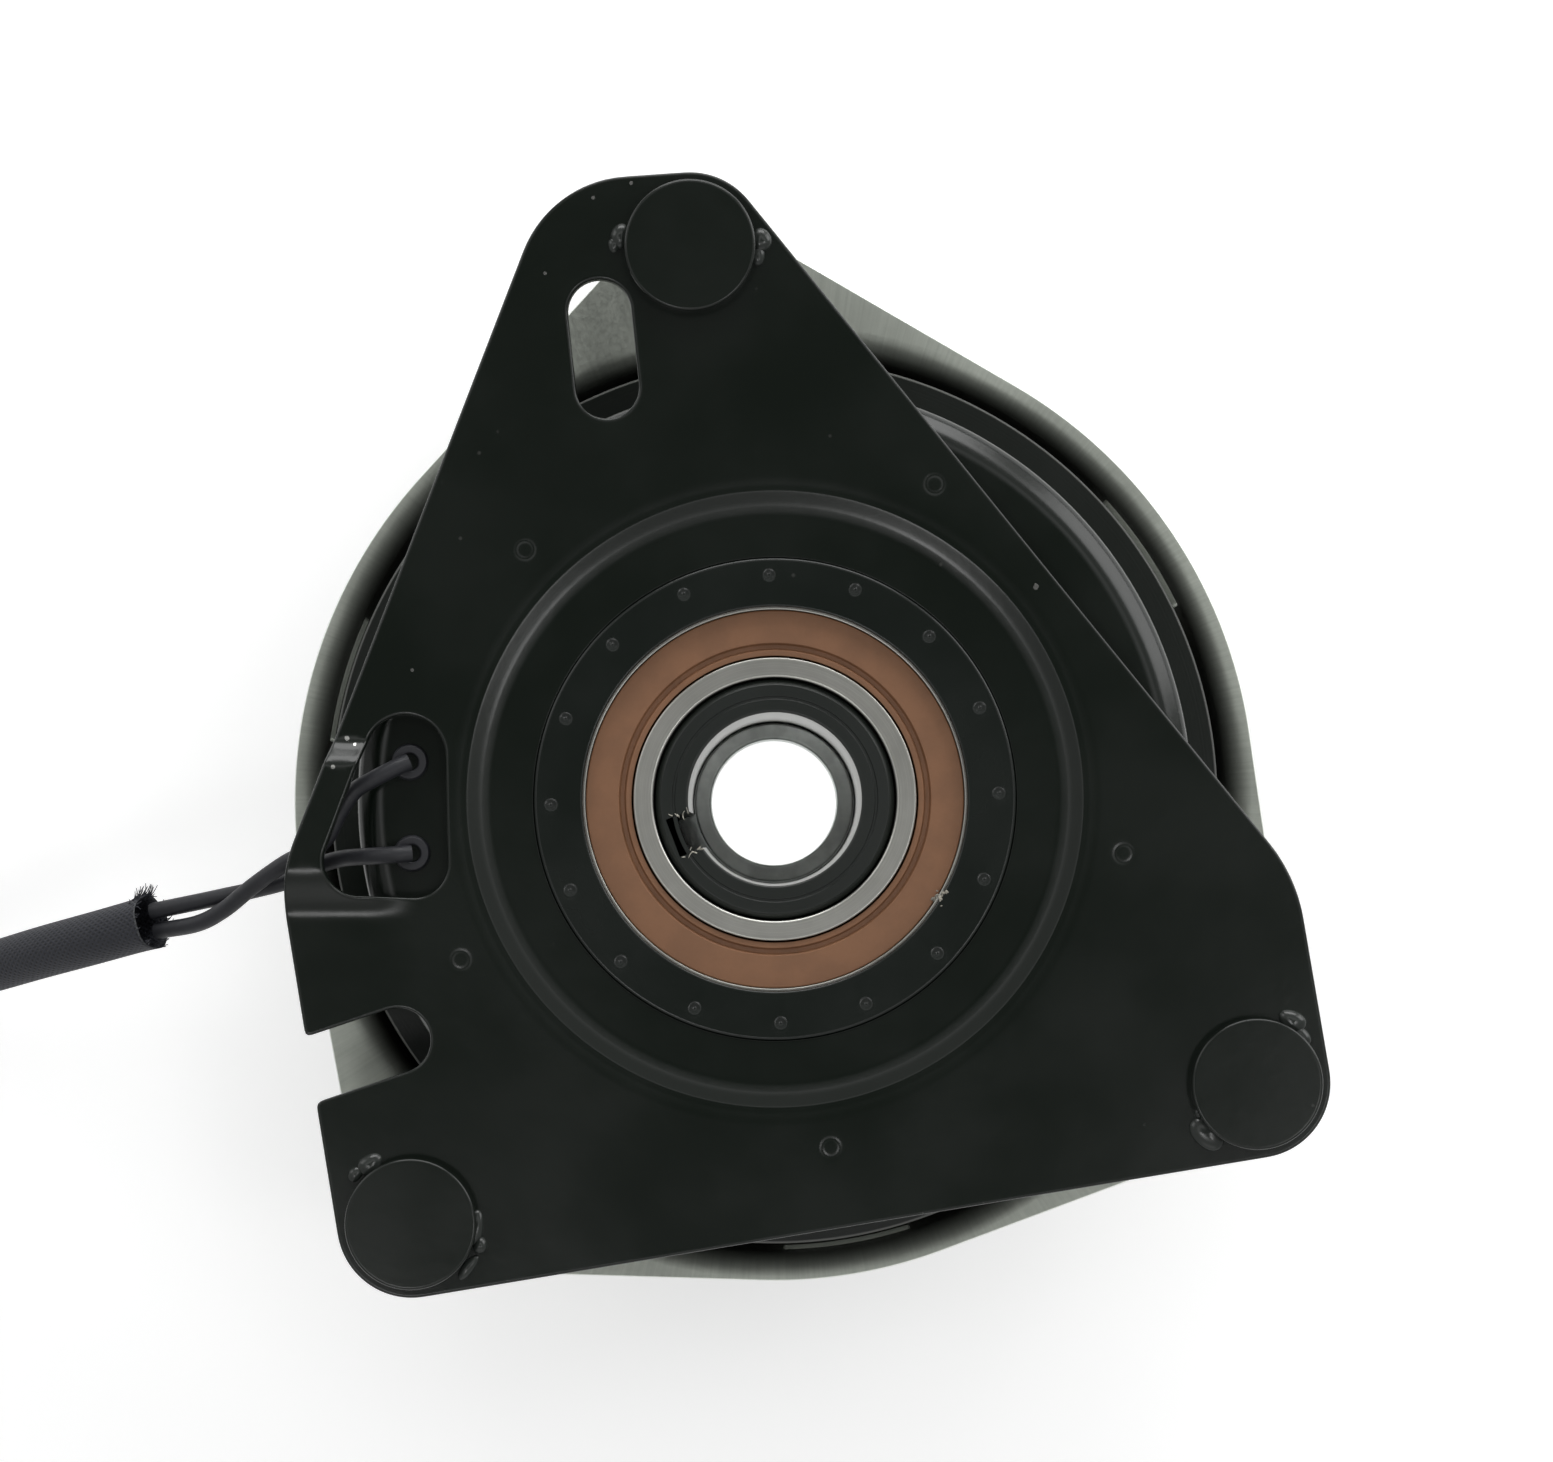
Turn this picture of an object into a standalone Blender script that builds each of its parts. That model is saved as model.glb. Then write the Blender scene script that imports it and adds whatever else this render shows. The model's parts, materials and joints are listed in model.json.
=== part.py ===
"""An electric clutch and brake for a mower's blade drive, lying on its pulley face.

The shaft axis is vertical. The field (coil, shell, mounting plate and studs) stands still on top.
The rotor turns inside it on a ball bearing, with a keyed bore for the engine's shaft. Below the
rotor hangs the armature, on three leaf springs of the pulley, which turns on a second bearing.
The brake plate is a drawn drum on the three studs; the armature rests on its inner lip.

Every size is in metres. Heights are worked out from the floor up, radii from the shaft out.
"""

import math

import bmesh
import bpy
from mathutils import Matrix, Vector
from mathutils.geometry import delaunay_2d_cdt

for old in list(bpy.data.objects):
    bpy.data.objects.remove(old, do_unlink=True)

# Clearances
SEAT = 0.0003
RUNNING = 0.0006
AIR_GAP = 0.0004

# Shaft bore and hub
BORE_R = 0.0142875
HUB_WALL = 0.0057125
KEY_WIDTH = 0.00635
KEY_DEPTH = 0.0032125
KEY_ANGLE = 201.0
HUB_CHAMFER = 0.0010
HUB_SHOULDER = 0.0040
HUB_FOOT_CLEARANCE = 0.0012
BUSH_WALL = 0.0028875
BUSH_LENGTH = 0.0140

# Both ball bearings
BEARING_WIDTH = 0.0150
INNER_RING_WALL = 0.0033
BALL_SPACE = 0.0072
OUTER_RING_WALL = 0.0035
GROOVE_DEPTH = 0.0008
SEAL_THICK = 0.0014
SEAL_SUNK = 0.0003
BALLS = 9
BALL_PLAY = 0.0006
CAGE_THICK = 0.0016
CAGE_WIDTH = 0.0036

# Pulley
BEARING_SET_IN = 0.0030
PULLEY_HUB_WALL = 0.0060
WEB_WIDTH = 0.0165
GROOVE_TOP_WIDTH = 0.0165
BELT_GROOVE_DEPTH = 0.0150
BELT_ANGLE = 38.0
GROOVE_BACKING = 0.0045
WEB_Z = 0.0095
WEB_THICK = 0.0050
BEARING_Z = 0.0050
BEARING_SHOULDER = 0.0018
SHOULDER_HOLD = 0.0022
SNAP_RING_THICK = 0.0015
SNAP_RING_DEPTH = 0.0012
SNAP_RING_HOLD = 0.0018

# Leaf springs and their rivets
LEAVES = 3
RIVET_SET_OUT = 0.0085
LEAF_SPAN_ANGLE = 60.0
LEAF_WIDTH = 0.0120
LEAF_THICK = 0.0008
LEAF_FLAT = 0.0075
FIRST_LEAF_ANGLE = 20.0
BOSS_R = 0.0060
RIVET_R = 0.0025
RIVET_HEAD_R = 0.0044
RIVET_HEAD_THICK = 0.0014
LEAF_RISE = 0.0022

# Brake plate
BRAKE_SHEET = 0.0025
BRAKE_LIP_CLEARANCE = 0.0035
BRAKE_LIP_WIDTH = 0.0080
DRUM_CLEARANCE = 0.0018
DRUM_HEIGHT = 0.0195
DRUM_BEND_R = 0.0042
DRUM_FOOT_BEND_R = 0.0030
BRAKE_FLANGE_WIDTH = 0.0048
EAR_R = 0.0103
WINDOW_WIDTH = 0.0220
WINDOW_HEIGHT = 0.0080

# Armature
ARMATURE_INSET = 0.0010
ARMATURE_CLEARANCE = 0.0010
ARMATURE_THICK = 0.0060
ARMATURE_SLOT_INSET = 0.0150
ARMATURE_SLOT_ARC = 80.0

# Rotor
ROTOR_DISC_THICK = 0.0070
ROTOR_RIM_HEIGHT = 0.0130
ROTOR_RIM_CHAMFER = 0.0011
ROTOR_BOSS_CLEARANCE = 0.0011
ROTOR_BOSS_SHORT = 0.0028
SLOT_HALF_WIDTH = 0.0015
SLOT_OUTSIDE_POLE = 0.0080
SLOT_INSIDE_SHELL = 0.0035
ROTOR_SLOTS = 6
ROTOR_SLOT_ARC = 40.0
SLOT_TO_LINING = 0.0035
FRICTION_DEPTH = 0.0020

# Field shell, bearing housing and coil
ROTOR_RIM_THICK = 0.0054
COIL_SPACE = 0.0235
SHELL_WALL = 0.0030
SHELL_BACK = 0.0040
SHELL_HEIGHT = 0.0260
SHELL_CORNER_R = 0.0070
SHELL_MOUTH_GAP = 0.0010
HOUSING_WALL = 0.0056
POLE_STEP = 0.0029
HOUSING_LIP_HOLD = 0.0024
HOUSING_LIP_THICK = 0.0012
HOUSING_PROUD = 0.0004
HOUSING_FOOT_HOLD = 0.0035
STAKES = 16
STAKE_INSET = 0.0028
STAKE_R = 0.0008
STAKE_DEPTH = 0.0004
FIRST_STAKE_ANGLE = 91.5
COIL_CLEARANCE = 0.0008
POTTING_THICK = 0.0030

# Field plate
PLATE_THICK = 0.0030
DISH_FLAT = 0.0073
DISH_SLOPE = 0.0039
DISH_DEPTH = 0.0012
STUD_SET_OUT = 0.0100
STUD_ANGLES = {"top": 98.75, "left": 229.4, "right": -30.6}
STUD_CORNER_R = 0.0123
JOGGLE_LIFT = 0.0030
JOGGLE_Y = (0.0097, 0.0056, -0.0116, -0.0190)
JOGGLE_WIDTH = 0.0080
JOGGLE_INSET = 0.0030
# Each as set-out from a circle, angle, and radius of a round end: the slot's and the plate's own
# circles from the studs' circle, the notch from the shell's, the lead hole's from the grommets'
SLOT_ENDS = ((-0.00653, 109.79, 0.0052), (-0.01862, 112.14, 0.0052))
PLATE_SIDES = ((-0.00541, 105.75, 0.0192), (-0.03484, 196.58, 0.0260), (-0.02681, -21.93, 0.0270))
NOTCH_END = (0.0044, 212.65, 0.00535)
NOTCH_WAY = 198.6
NOTCH_LENGTH = 0.0300
LEAD_HOLE_ENDS = ((0.00073, 173.24, 0.0066), (-0.00016, 190.13, 0.0056), (0.00856, 188.51, 0.0057))

# Studs, brake springs, washers and nuts
STUD_R = 0.0040
STUD_HEAD_R = 0.01075
STUD_HEAD_THICK = 0.0026
STUD_HEAD_CHAMFER = 0.0004
STUD_TIP_TAPER = 0.0006
STUD_TIP_LENGTH = 0.0008
STUD_PAST_NUT = 0.0035
SPRING_COIL_R = 0.0064
SPRING_WIRE_R = 0.0009
SPRING_TURNS = 5.0
SPRING_CLOSED_TURNS = 0.75
SPRING_STEPS_A_TURN = 9
WASHER_R = 0.0080
WASHER_THICK = 0.0016
NUT_ACROSS = 0.0130
NUT_HEX_HEIGHT = 0.0060
NUT_COLLAR_HEIGHT = 0.0022
NUT_COLLAR_R = 0.0056

# Leads, sleeve and connector
LEAD_R = 0.0014
SLEEVE_R = 0.00465
GROMMET_INSET = 0.0086
GROMMET_ANGLES = {"upper": 174.2, "lower": 188.5}
GROMMET_R = 0.0031
GROMMET_NECK_R = 0.0024
GROMMET_FLANGE = 0.0007
CONNECTOR_SIZE = (0.0250, 0.0170, 0.0110)
CONNECTOR_WALL = 0.0018
CONNECTOR_EDGE = 0.0012
SOCKET_DEPTH = 0.0100

# Roundness of large, middling, small and tiny turned pieces, and of a long outline
LARGE = 36
MEDIUM = 24
SMALL = 12
TINY = 8
OUTLINE = 72

# Radii, from the shaft's bore out: each follows the one that carries or clears it
BEARING_BORE_R = BORE_R + HUB_WALL
INNER_RACE_R = BEARING_BORE_R + INNER_RING_WALL
OUTER_RACE_R = INNER_RACE_R + BALL_SPACE
BEARING_OUTER_R = OUTER_RACE_R + OUTER_RING_WALL
HOUSING_R = BEARING_OUTER_R + HOUSING_WALL
POLE_R = HOUSING_R + POLE_STEP
HOUSING_LIP_R = BEARING_OUTER_R - HOUSING_LIP_HOLD
HOUSING_FOOT_BORE_R = BEARING_OUTER_R - HOUSING_FOOT_HOLD
STAKE_CIRCLE_R = HOUSING_R - STAKE_INSET
DISH_INNER_R = HOUSING_R + DISH_FLAT
DISH_OUTER_R = DISH_INNER_R + DISH_SLOPE
SHELL_R = POLE_R + COIL_SPACE + SHELL_WALL
GROMMET_CIRCLE_R = SHELL_R - GROMMET_INSET
ROTOR_R = SHELL_R + RUNNING + ROTOR_RIM_THICK
ROTOR_BOSS_R = HOUSING_FOOT_BORE_R - ROTOR_BOSS_CLEARANCE
INNER_SLOT_R = POLE_R + SLOT_OUTSIDE_POLE
OUTER_SLOT_R = SHELL_R - SHELL_WALL - SLOT_INSIDE_SHELL
FRICTION_INNER_R = INNER_SLOT_R + SLOT_TO_LINING
FRICTION_OUTER_R = OUTER_SLOT_R - SLOT_TO_LINING
PULLEY_HUB_R = BEARING_OUTER_R + PULLEY_HUB_WALL
RIM_INNER_R = PULLEY_HUB_R + WEB_WIDTH
PULLEY_R = RIM_INNER_R + GROOVE_BACKING + BELT_GROOVE_DEPTH
RIVET_CIRCLE_R = PULLEY_HUB_R + RIVET_SET_OUT
ARMATURE_INNER_R = PULLEY_HUB_R + ARMATURE_CLEARANCE
ARMATURE_R = ROTOR_R - ARMATURE_INSET
ARMATURE_SLOT_R = ARMATURE_R - ARMATURE_SLOT_INSET
DRUM_INNER_R = ROTOR_R + DRUM_CLEARANCE
BRAKE_ROUND_R = DRUM_INNER_R + BRAKE_FLANGE_WIDTH
BRAKE_LIP_INNER_R = ARMATURE_R - BRAKE_LIP_WIDTH
STUD_CIRCLE_R = BRAKE_ROUND_R + STUD_SET_OUT

# Heights, from the floor up
PULLEY_WIDTH = BEARING_Z + BEARING_WIDTH + BEARING_SET_IN
boss_top = PULLEY_WIDTH + BRAKE_LIP_CLEARANCE + BRAKE_SHEET - LEAF_RISE - LEAF_THICK - SEAT
lip_bottom = PULLEY_WIDTH + BRAKE_LIP_CLEARANCE
lip_top = lip_bottom + BRAKE_SHEET
armature_bottom = lip_top + SEAT
armature_top = armature_bottom + ARMATURE_THICK
leaf_low = boss_top + SEAT
leaf_high = armature_bottom - SEAT - LEAF_THICK
leaf_rise = leaf_high - leaf_low
rotor_face = armature_top + AIR_GAP + SEAT
rotor_back = rotor_face + ROTOR_DISC_THICK
shell_mouth = rotor_back + SHELL_MOUTH_GAP
shell_top = shell_mouth + SHELL_HEIGHT
plate_bottom = shell_top + SEAT
plate_top = plate_bottom + PLATE_THICK
housing_top = plate_top - DISH_DEPTH + HOUSING_PROUD
field_bearing_top = housing_top - HOUSING_LIP_THICK - SEAT
field_bearing_bottom = field_bearing_top - BEARING_WIDTH
pulley_bearing_top = BEARING_Z + BEARING_WIDTH
flange_top = lip_bottom + DRUM_HEIGHT
flange_bottom = flange_top - BRAKE_SHEET
washer_top = flange_bottom - SEAT
nut_top = washer_top - WASHER_THICK - SEAT
stud_end = nut_top - NUT_HEX_HEIGHT - NUT_COLLAR_HEIGHT - STUD_PAST_NUT


def polar(radius, degrees):
    """The point at this radius and angle, as x and y."""
    turn = math.radians(degrees)
    return radius * math.cos(turn), radius * math.sin(turn)


def arc(centre, radius, start, end, steps):
    """Points of an arc, both ends included."""
    turns = [start + (end - start) * i / steps for i in range(steps + 1)]
    offsets = [polar(radius, turn) for turn in turns]
    return [(centre[0] + x, centre[1] + y) for x, y in offsets]


def circle(centre, radius, steps):
    return arc(centre, radius, 0.0, 360.0, steps)[:-1]


def hull_of_circles(circles, steps):
    """The band pulled tight round circles of (x, y, radius): their farthest point in each direction."""
    outline = []
    for i in range(steps):
        nx, ny = polar(1.0, 360.0 * i / steps)
        x, y, r = max(circles, key=lambda c: c[0] * nx + c[1] * ny + c[2])
        outline.append((x + r * nx, y + r * ny))
    return outline


def ends_about(circle_r, ends):
    """Circles of (x, y, radius) from ends given as set-out from a circle, angle and radius."""
    return [(*polar(circle_r + out, angle), r) for out, angle, r in ends]


def is_inside(x, y, loop):
    """Whether a ray to the right crosses the loop an odd number of times."""
    odd = False
    for (ax, ay), (bx, by) in zip(loop, loop[1:] + loop[:1]):
        if (ay > y) != (by > y) and x < ax + (bx - ax) * (y - ay) / (by - ay):
            odd = not odd
    return odd


studs = {side: polar(STUD_CIRCLE_R, angle) for side, angle in STUD_ANGLES.items()}
grommets = {side: polar(GROMMET_CIRCLE_R, angle) for side, angle in GROMMET_ANGLES.items()}

plate_circles = [(x, y, STUD_CORNER_R) for x, y in studs.values()]
plate_circles += ends_about(STUD_CIRCLE_R, PLATE_SIDES)
plate_outline = hull_of_circles(plate_circles, OUTLINE)
brake_circles = [(0.0, 0.0, BRAKE_ROUND_R)] + [(x, y, EAR_R) for x, y in studs.values()]
brake_outline = hull_of_circles(brake_circles, OUTLINE)

# The model's origin is the middle of its box, so the shaft stands a little beside it
corners_x = [x for x, y in plate_outline + brake_outline]
corners_y = [y for x, y in plate_outline + brake_outline]
shaft = bpy.data.objects.new("shaft_axis", None)
shaft.location = (-(min(corners_x) + max(corners_x)) / 2, -(min(corners_y) + max(corners_y)) / 2, 0.0)
bpy.context.scene.collection.objects.link(shaft)


def finish(name, color, roughness, metallic):
    look = bpy.data.materials.new(name)
    look.use_nodes = True
    shader = look.node_tree.nodes["Principled BSDF"]
    shader.inputs["Base Color"].default_value = (*color, 1.0)
    shader.inputs["Roughness"].default_value = roughness
    shader.inputs["Metallic"].default_value = metallic
    return look


BLACK_PAINT = finish("black_paint", (0.012, 0.013, 0.013), 0.32, 0.0)
DRAWN_STEEL = finish("drawn_steel", (0.34, 0.35, 0.34), 0.38, 1.0)
GROUND_STEEL = finish("ground_steel", (0.55, 0.54, 0.51), 0.26, 1.0)
SPRING_STEEL = finish("spring_steel", (0.28, 0.28, 0.28), 0.35, 1.0)
ZINC = finish("zinc_plate", (0.58, 0.56, 0.48), 0.35, 1.0)
SEAL_RUBBER = finish("brown_rubber", (0.26, 0.10, 0.055), 0.60, 0.0)
LINING = finish("friction_lining", (0.10, 0.075, 0.055), 0.90, 0.0)
COPPER = finish("enamelled_copper", (0.50, 0.19, 0.09), 0.35, 1.0)
RESIN = finish("potting_resin", (0.05, 0.025, 0.015), 0.45, 0.0)
BLACK_RUBBER = finish("black_rubber", (0.014, 0.014, 0.014), 0.60, 0.0)
BLACK_BRAID = finish("black_braid", (0.013, 0.013, 0.015), 0.75, 0.0)
BLACK_PLASTIC = finish("black_plastic", (0.02, 0.02, 0.02), 0.45, 0.0)


def place(name, bm, look, at=(0.0, 0.0, 0.0)):
    """The mesh as a named object on the shaft, with its own origin at a point beside it."""
    mesh = bpy.data.meshes.new(name)
    bm.to_mesh(mesh)
    bm.free()
    mesh.materials.append(look)
    mesh.shade_smooth()
    mesh.set_sharp_from_angle(angle=math.radians(35.0))
    obj = bpy.data.objects.new(name, mesh)
    obj.parent = shaft
    obj.location = at
    bpy.context.scene.collection.objects.link(obj)
    return obj


def turned(profile, steps, about=(0.0, 0.0)):
    """A closed outline of (radius, height) spun once round an upright axis."""
    bm = bmesh.new()
    ring = [bm.verts.new((about[0] + r, about[1], z)) for r, z in profile]
    edges = [bm.edges.new((a, b)) for a, b in zip(ring, ring[1:] + ring[:1])]
    bmesh.ops.spin(
        bm, geom=ring + edges, cent=(*about, 0.0), axis=(0, 0, 1),
        angle=math.tau, steps=steps, use_merge=True,
    )
    bmesh.ops.remove_doubles(bm, verts=bm.verts, dist=1e-7)
    bmesh.ops.recalc_face_normals(bm, faces=bm.faces)
    return bm


def tube(inner, outer, low, high, steps):
    """A plain ring."""
    return turned([(inner, low), (outer, low), (outer, high), (inner, high)], steps)


def prism(loop, low, high, bm=None):
    """An outline of (x, y) extruded upright; several can share one mesh."""
    bm = bm or bmesh.new()
    face = bm.faces.new([bm.verts.new((x, y, low)) for x, y in loop])
    made = bmesh.ops.extrude_face_region(bm, geom=[face])["geom"]
    risen = [g for g in made if isinstance(g, bmesh.types.BMVert)]
    bmesh.ops.translate(bm, verts=risen, vec=(0.0, 0.0, high - low))
    bmesh.ops.recalc_face_normals(bm, faces=bm.faces)
    return bm


def combine(target, bm, operation, tag):
    """A Boolean on the target, with its tool kept beside it as a wire."""
    tool = place(f"{target.name}_{tag}", bm, target.data.materials[0], target.location)
    tool.hide_render = True
    tool.display_type = "WIRE"
    step = target.modifiers.new(tag, "BOOLEAN")
    step.operation = operation
    step.solver = "EXACT"
    step.object = tool


def formed_sheet(outline, cuts, folds, height, top, thickness):
    """A sheet between its outline and its cut-outs, lifted by height(x, y).

    Cut-outs are closed loops; folds are closed or open lines, as (points, closed), that the
    sheet's faces follow. The faces are extruded down by the sheet's thickness.
    """
    points = []
    edges = []
    for loop, closed in [(outline, True)] + [(cut, True) for cut in cuts] + folds:
        first = len(points)
        points += [Vector(p) for p in loop]
        edges += [(first + i, first + i + 1) for i in range(len(loop) - 1)]
        if closed:
            edges.append((len(points) - 1, first))
    flat, _, triangles, *_ = delaunay_2d_cdt(points, edges, [], 0, 1e-7)
    bm = bmesh.new()
    verts = [bm.verts.new((p.x, p.y, top + height(p.x, p.y))) for p in flat]
    for triangle in triangles:
        x = sum(flat[i].x for i in triangle) / 3
        y = sum(flat[i].y for i in triangle) / 3
        if is_inside(x, y, outline) and not any(is_inside(x, y, cut) for cut in cuts):
            bm.faces.new([verts[i] for i in triangle])
    bmesh.ops.delete(bm, geom=[v for v in bm.verts if not v.link_faces], context="VERTS")
    made = bmesh.ops.extrude_face_region(bm, geom=bm.faces[:])["geom"]
    lowered = [g for g in made if isinstance(g, bmesh.types.BMVert)]
    bmesh.ops.translate(bm, verts=lowered, vec=(0.0, 0.0, -thickness))
    bmesh.ops.recalc_face_normals(bm, faces=bm.faces)
    return bm


def arc_slot(radius, half_width, middle, span, low, high, bm):
    """A banana slot: two arcs about the shaft joined by round ends."""
    start, end = middle - span / 2, middle + span / 2
    steps = round(span * LARGE / 360.0)
    loop = arc((0.0, 0.0), radius + half_width, start, end, steps)
    loop += arc(polar(radius, end), half_width, end, end + 180.0, 2)[1:-1]
    loop += arc((0.0, 0.0), radius - half_width, end, start, steps)
    loop += arc(polar(radius, start), half_width, start + 180.0, start + 360.0, 2)[1:-1]
    return prism(loop, low, high, bm)


def build_field_plate():
    """The three-cornered mounting plate, dished in the middle and joggled over the leads."""
    slot = hull_of_circles(ends_about(STUD_CIRCLE_R, SLOT_ENDS), SMALL + TINY)
    notch_end = ends_about(SHELL_R, [NOTCH_END])[0]
    out_x, out_y = polar(NOTCH_LENGTH, NOTCH_WAY)
    notch_mouth = (notch_end[0] + out_x, notch_end[1] + out_y, notch_end[2])
    notch = hull_of_circles([notch_end, notch_mouth], SMALL + TINY)
    lead_hole = hull_of_circles(ends_about(GROMMET_CIRCLE_R, LEAD_HOLE_ENDS), MEDIUM)
    stud_holes = [circle(at, STUD_R + SEAT, SMALL) for at in studs.values()]
    middle = circle((0.0, 0.0), HOUSING_R + SEAT, LARGE)
    dish = [(circle((0.0, 0.0), r, LARGE), True) for r in (DISH_OUTER_R, DISH_INNER_R)]
    edge_x = -SHELL_R - 4 * LEAD_R - EAR_R
    high_x = JOGGLE_INSET - SHELL_R
    low_x = high_x + JOGGLE_WIDTH
    ramps = [([(edge_x, y), (low_x, y)], False) for y in JOGGLE_Y]
    fades = [([(x, JOGGLE_Y[2]), (x, JOGGLE_Y[3])], False) for x in (high_x, low_x)]

    def formed_height(x, y):
        radius = math.hypot(x, y)
        dished = (DISH_OUTER_R - radius) / (DISH_OUTER_R - DISH_INNER_R)
        up_top, flat_top, flat_foot, up_foot = JOGGLE_Y
        along = min((up_top - y) / (up_top - flat_top), (y - up_foot) / (flat_foot - up_foot))
        across = (low_x - x) / JOGGLE_WIDTH
        lift = min(max(along, 0.0), 1.0) * min(max(across, 0.0), 1.0)
        return JOGGLE_LIFT * lift - DISH_DEPTH * min(max(dished, 0.0), 1.0)

    bm = formed_sheet(
        plate_outline, [slot, notch, lead_hole, middle] + stud_holes, dish + ramps + fades,
        formed_height, plate_top, PLATE_THICK,
    )
    place("field_plate", bm, BLACK_PAINT)


def build_field_shell():
    """The drawn cup behind the plate, mouth down, with the dish that the plate nests in."""
    corner = (SHELL_R - SHELL_CORNER_R, shell_top - SHELL_CORNER_R)
    ceiling = shell_top - SHELL_BACK - DISH_DEPTH
    profile = [
        (HOUSING_R + SEAT, ceiling),
        (HOUSING_R + SEAT, shell_top - DISH_DEPTH),
        (DISH_INNER_R, shell_top - DISH_DEPTH),
        (DISH_OUTER_R, shell_top),
    ]
    profile += arc(corner, SHELL_CORNER_R, 90.0, 0.0, 4)
    profile += [
        (SHELL_R, shell_mouth),
        (SHELL_R - SHELL_WALL, shell_mouth),
        (SHELL_R - SHELL_WALL, ceiling - SHELL_WALL),
        (SHELL_R - 2 * SHELL_WALL, ceiling),
    ]
    shell = place("field_shell", turned(profile, LARGE), BLACK_PAINT)
    holes = bmesh.new()
    for x, y in grommets.values():
        prism(circle((x, y), GROMMET_NECK_R + SEAT, SMALL), ceiling - SEAT, shell_top + SEAT, holes)
    combine(shell, holes, "DIFFERENCE", "lead_holes")


def build_bearing_housing():
    """The inner pole, turned to seat the bearing, its lip rolled over the outer ring and staked."""
    seat_r = BEARING_OUTER_R + SEAT
    neck_foot = shell_top - SHELL_BACK - DISH_DEPTH - SEAT
    profile = [
        (HOUSING_LIP_R, housing_top),
        (HOUSING_R, housing_top),
        (HOUSING_R, neck_foot),
        (POLE_R, neck_foot),
        (POLE_R, shell_mouth),
        (HOUSING_FOOT_BORE_R, shell_mouth),
        (HOUSING_FOOT_BORE_R, field_bearing_bottom - SEAT),
        (seat_r, field_bearing_bottom - SEAT),
        (seat_r, field_bearing_top + SEAT),
        (HOUSING_LIP_R, field_bearing_top + SEAT),
    ]
    housing = place("bearing_housing", turned(profile, LARGE), BLACK_PAINT)
    dimples = bmesh.new()
    for i in range(STAKES):
        at = polar(STAKE_CIRCLE_R, FIRST_STAKE_ANGLE + 360.0 * i / STAKES)
        prism(circle(at, STAKE_R, 4), housing_top - STAKE_DEPTH, housing_top + SEAT, dimples)
    combine(housing, dimples, "DIFFERENCE", "stakes")


def build_coil():
    """The winding in the shell's channel, closed by a ring of resin."""
    ceiling = shell_top - SHELL_BACK - DISH_DEPTH - SHELL_WALL - SEAT
    inner = POLE_R + COIL_CLEARANCE
    outer = SHELL_R - SHELL_WALL - COIL_CLEARANCE
    resin_top = shell_mouth + POTTING_THICK
    place("field_coil", tube(inner, outer, resin_top + SEAT, ceiling, MEDIUM), COPPER)
    resin = tube(POLE_R + SEAT, SHELL_R - SHELL_WALL - SEAT, shell_mouth + SEAT, resin_top, LARGE)
    place("coil_potting", resin, RESIN)


def build_bearing(name, top):
    """A sealed deep-groove ball bearing: two grooved rings, two seals, and balls in their cage."""
    middle = top - BEARING_WIDTH / 2
    pitch_r = (INNER_RACE_R + OUTER_RACE_R) / 2
    half_track = (OUTER_RACE_R - INNER_RACE_R) / 2
    groove_r = half_track + GROOVE_DEPTH
    half_mouth = math.degrees(math.acos(half_track / groove_r))
    bottom = top - BEARING_WIDTH
    outer = arc((pitch_r, middle), groove_r, -half_mouth, half_mouth, 2)
    outer += [(OUTER_RACE_R, top), (BEARING_OUTER_R, top), (BEARING_OUTER_R, bottom), (OUTER_RACE_R, bottom)]
    place(f"{name}_bearing_outer_ring", turned(outer, MEDIUM), GROUND_STEEL)
    inner = arc((pitch_r, middle), groove_r, 180.0 - half_mouth, 180.0 + half_mouth, 2)
    inner += [(INNER_RACE_R, bottom), (BEARING_BORE_R, bottom), (BEARING_BORE_R, top), (INNER_RACE_R, top)]
    place(f"{name}_bearing_inner_ring", turned(inner, MEDIUM), GROUND_STEEL)
    for side, low in (("upper", top - SEAL_SUNK - SEAL_THICK), ("lower", bottom + SEAL_SUNK)):
        seal = tube(INNER_RACE_R + SEAT, OUTER_RACE_R - SEAT, low, low + SEAL_THICK, MEDIUM)
        place(f"{name}_bearing_{side}_seal", seal, SEAL_RUBBER)
    cage = tube(
        pitch_r - CAGE_THICK / 2, pitch_r + CAGE_THICK / 2,
        middle - CAGE_WIDTH / 2, middle + CAGE_WIDTH / 2, 2 * BALLS,
    )
    cage = place(f"{name}_bearing_balls", cage, GROUND_STEEL)
    balls = bmesh.new()
    for i in range(BALLS):
        x, y = polar(pitch_r, 360.0 * i / BALLS)
        bmesh.ops.create_uvsphere(
            balls, u_segments=TINY, v_segments=TINY // 2, radius=groove_r - BALL_PLAY,
            matrix=Matrix.Translation((x, y, middle)),
        )
    combine(cage, balls, "UNION", "balls")


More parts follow.
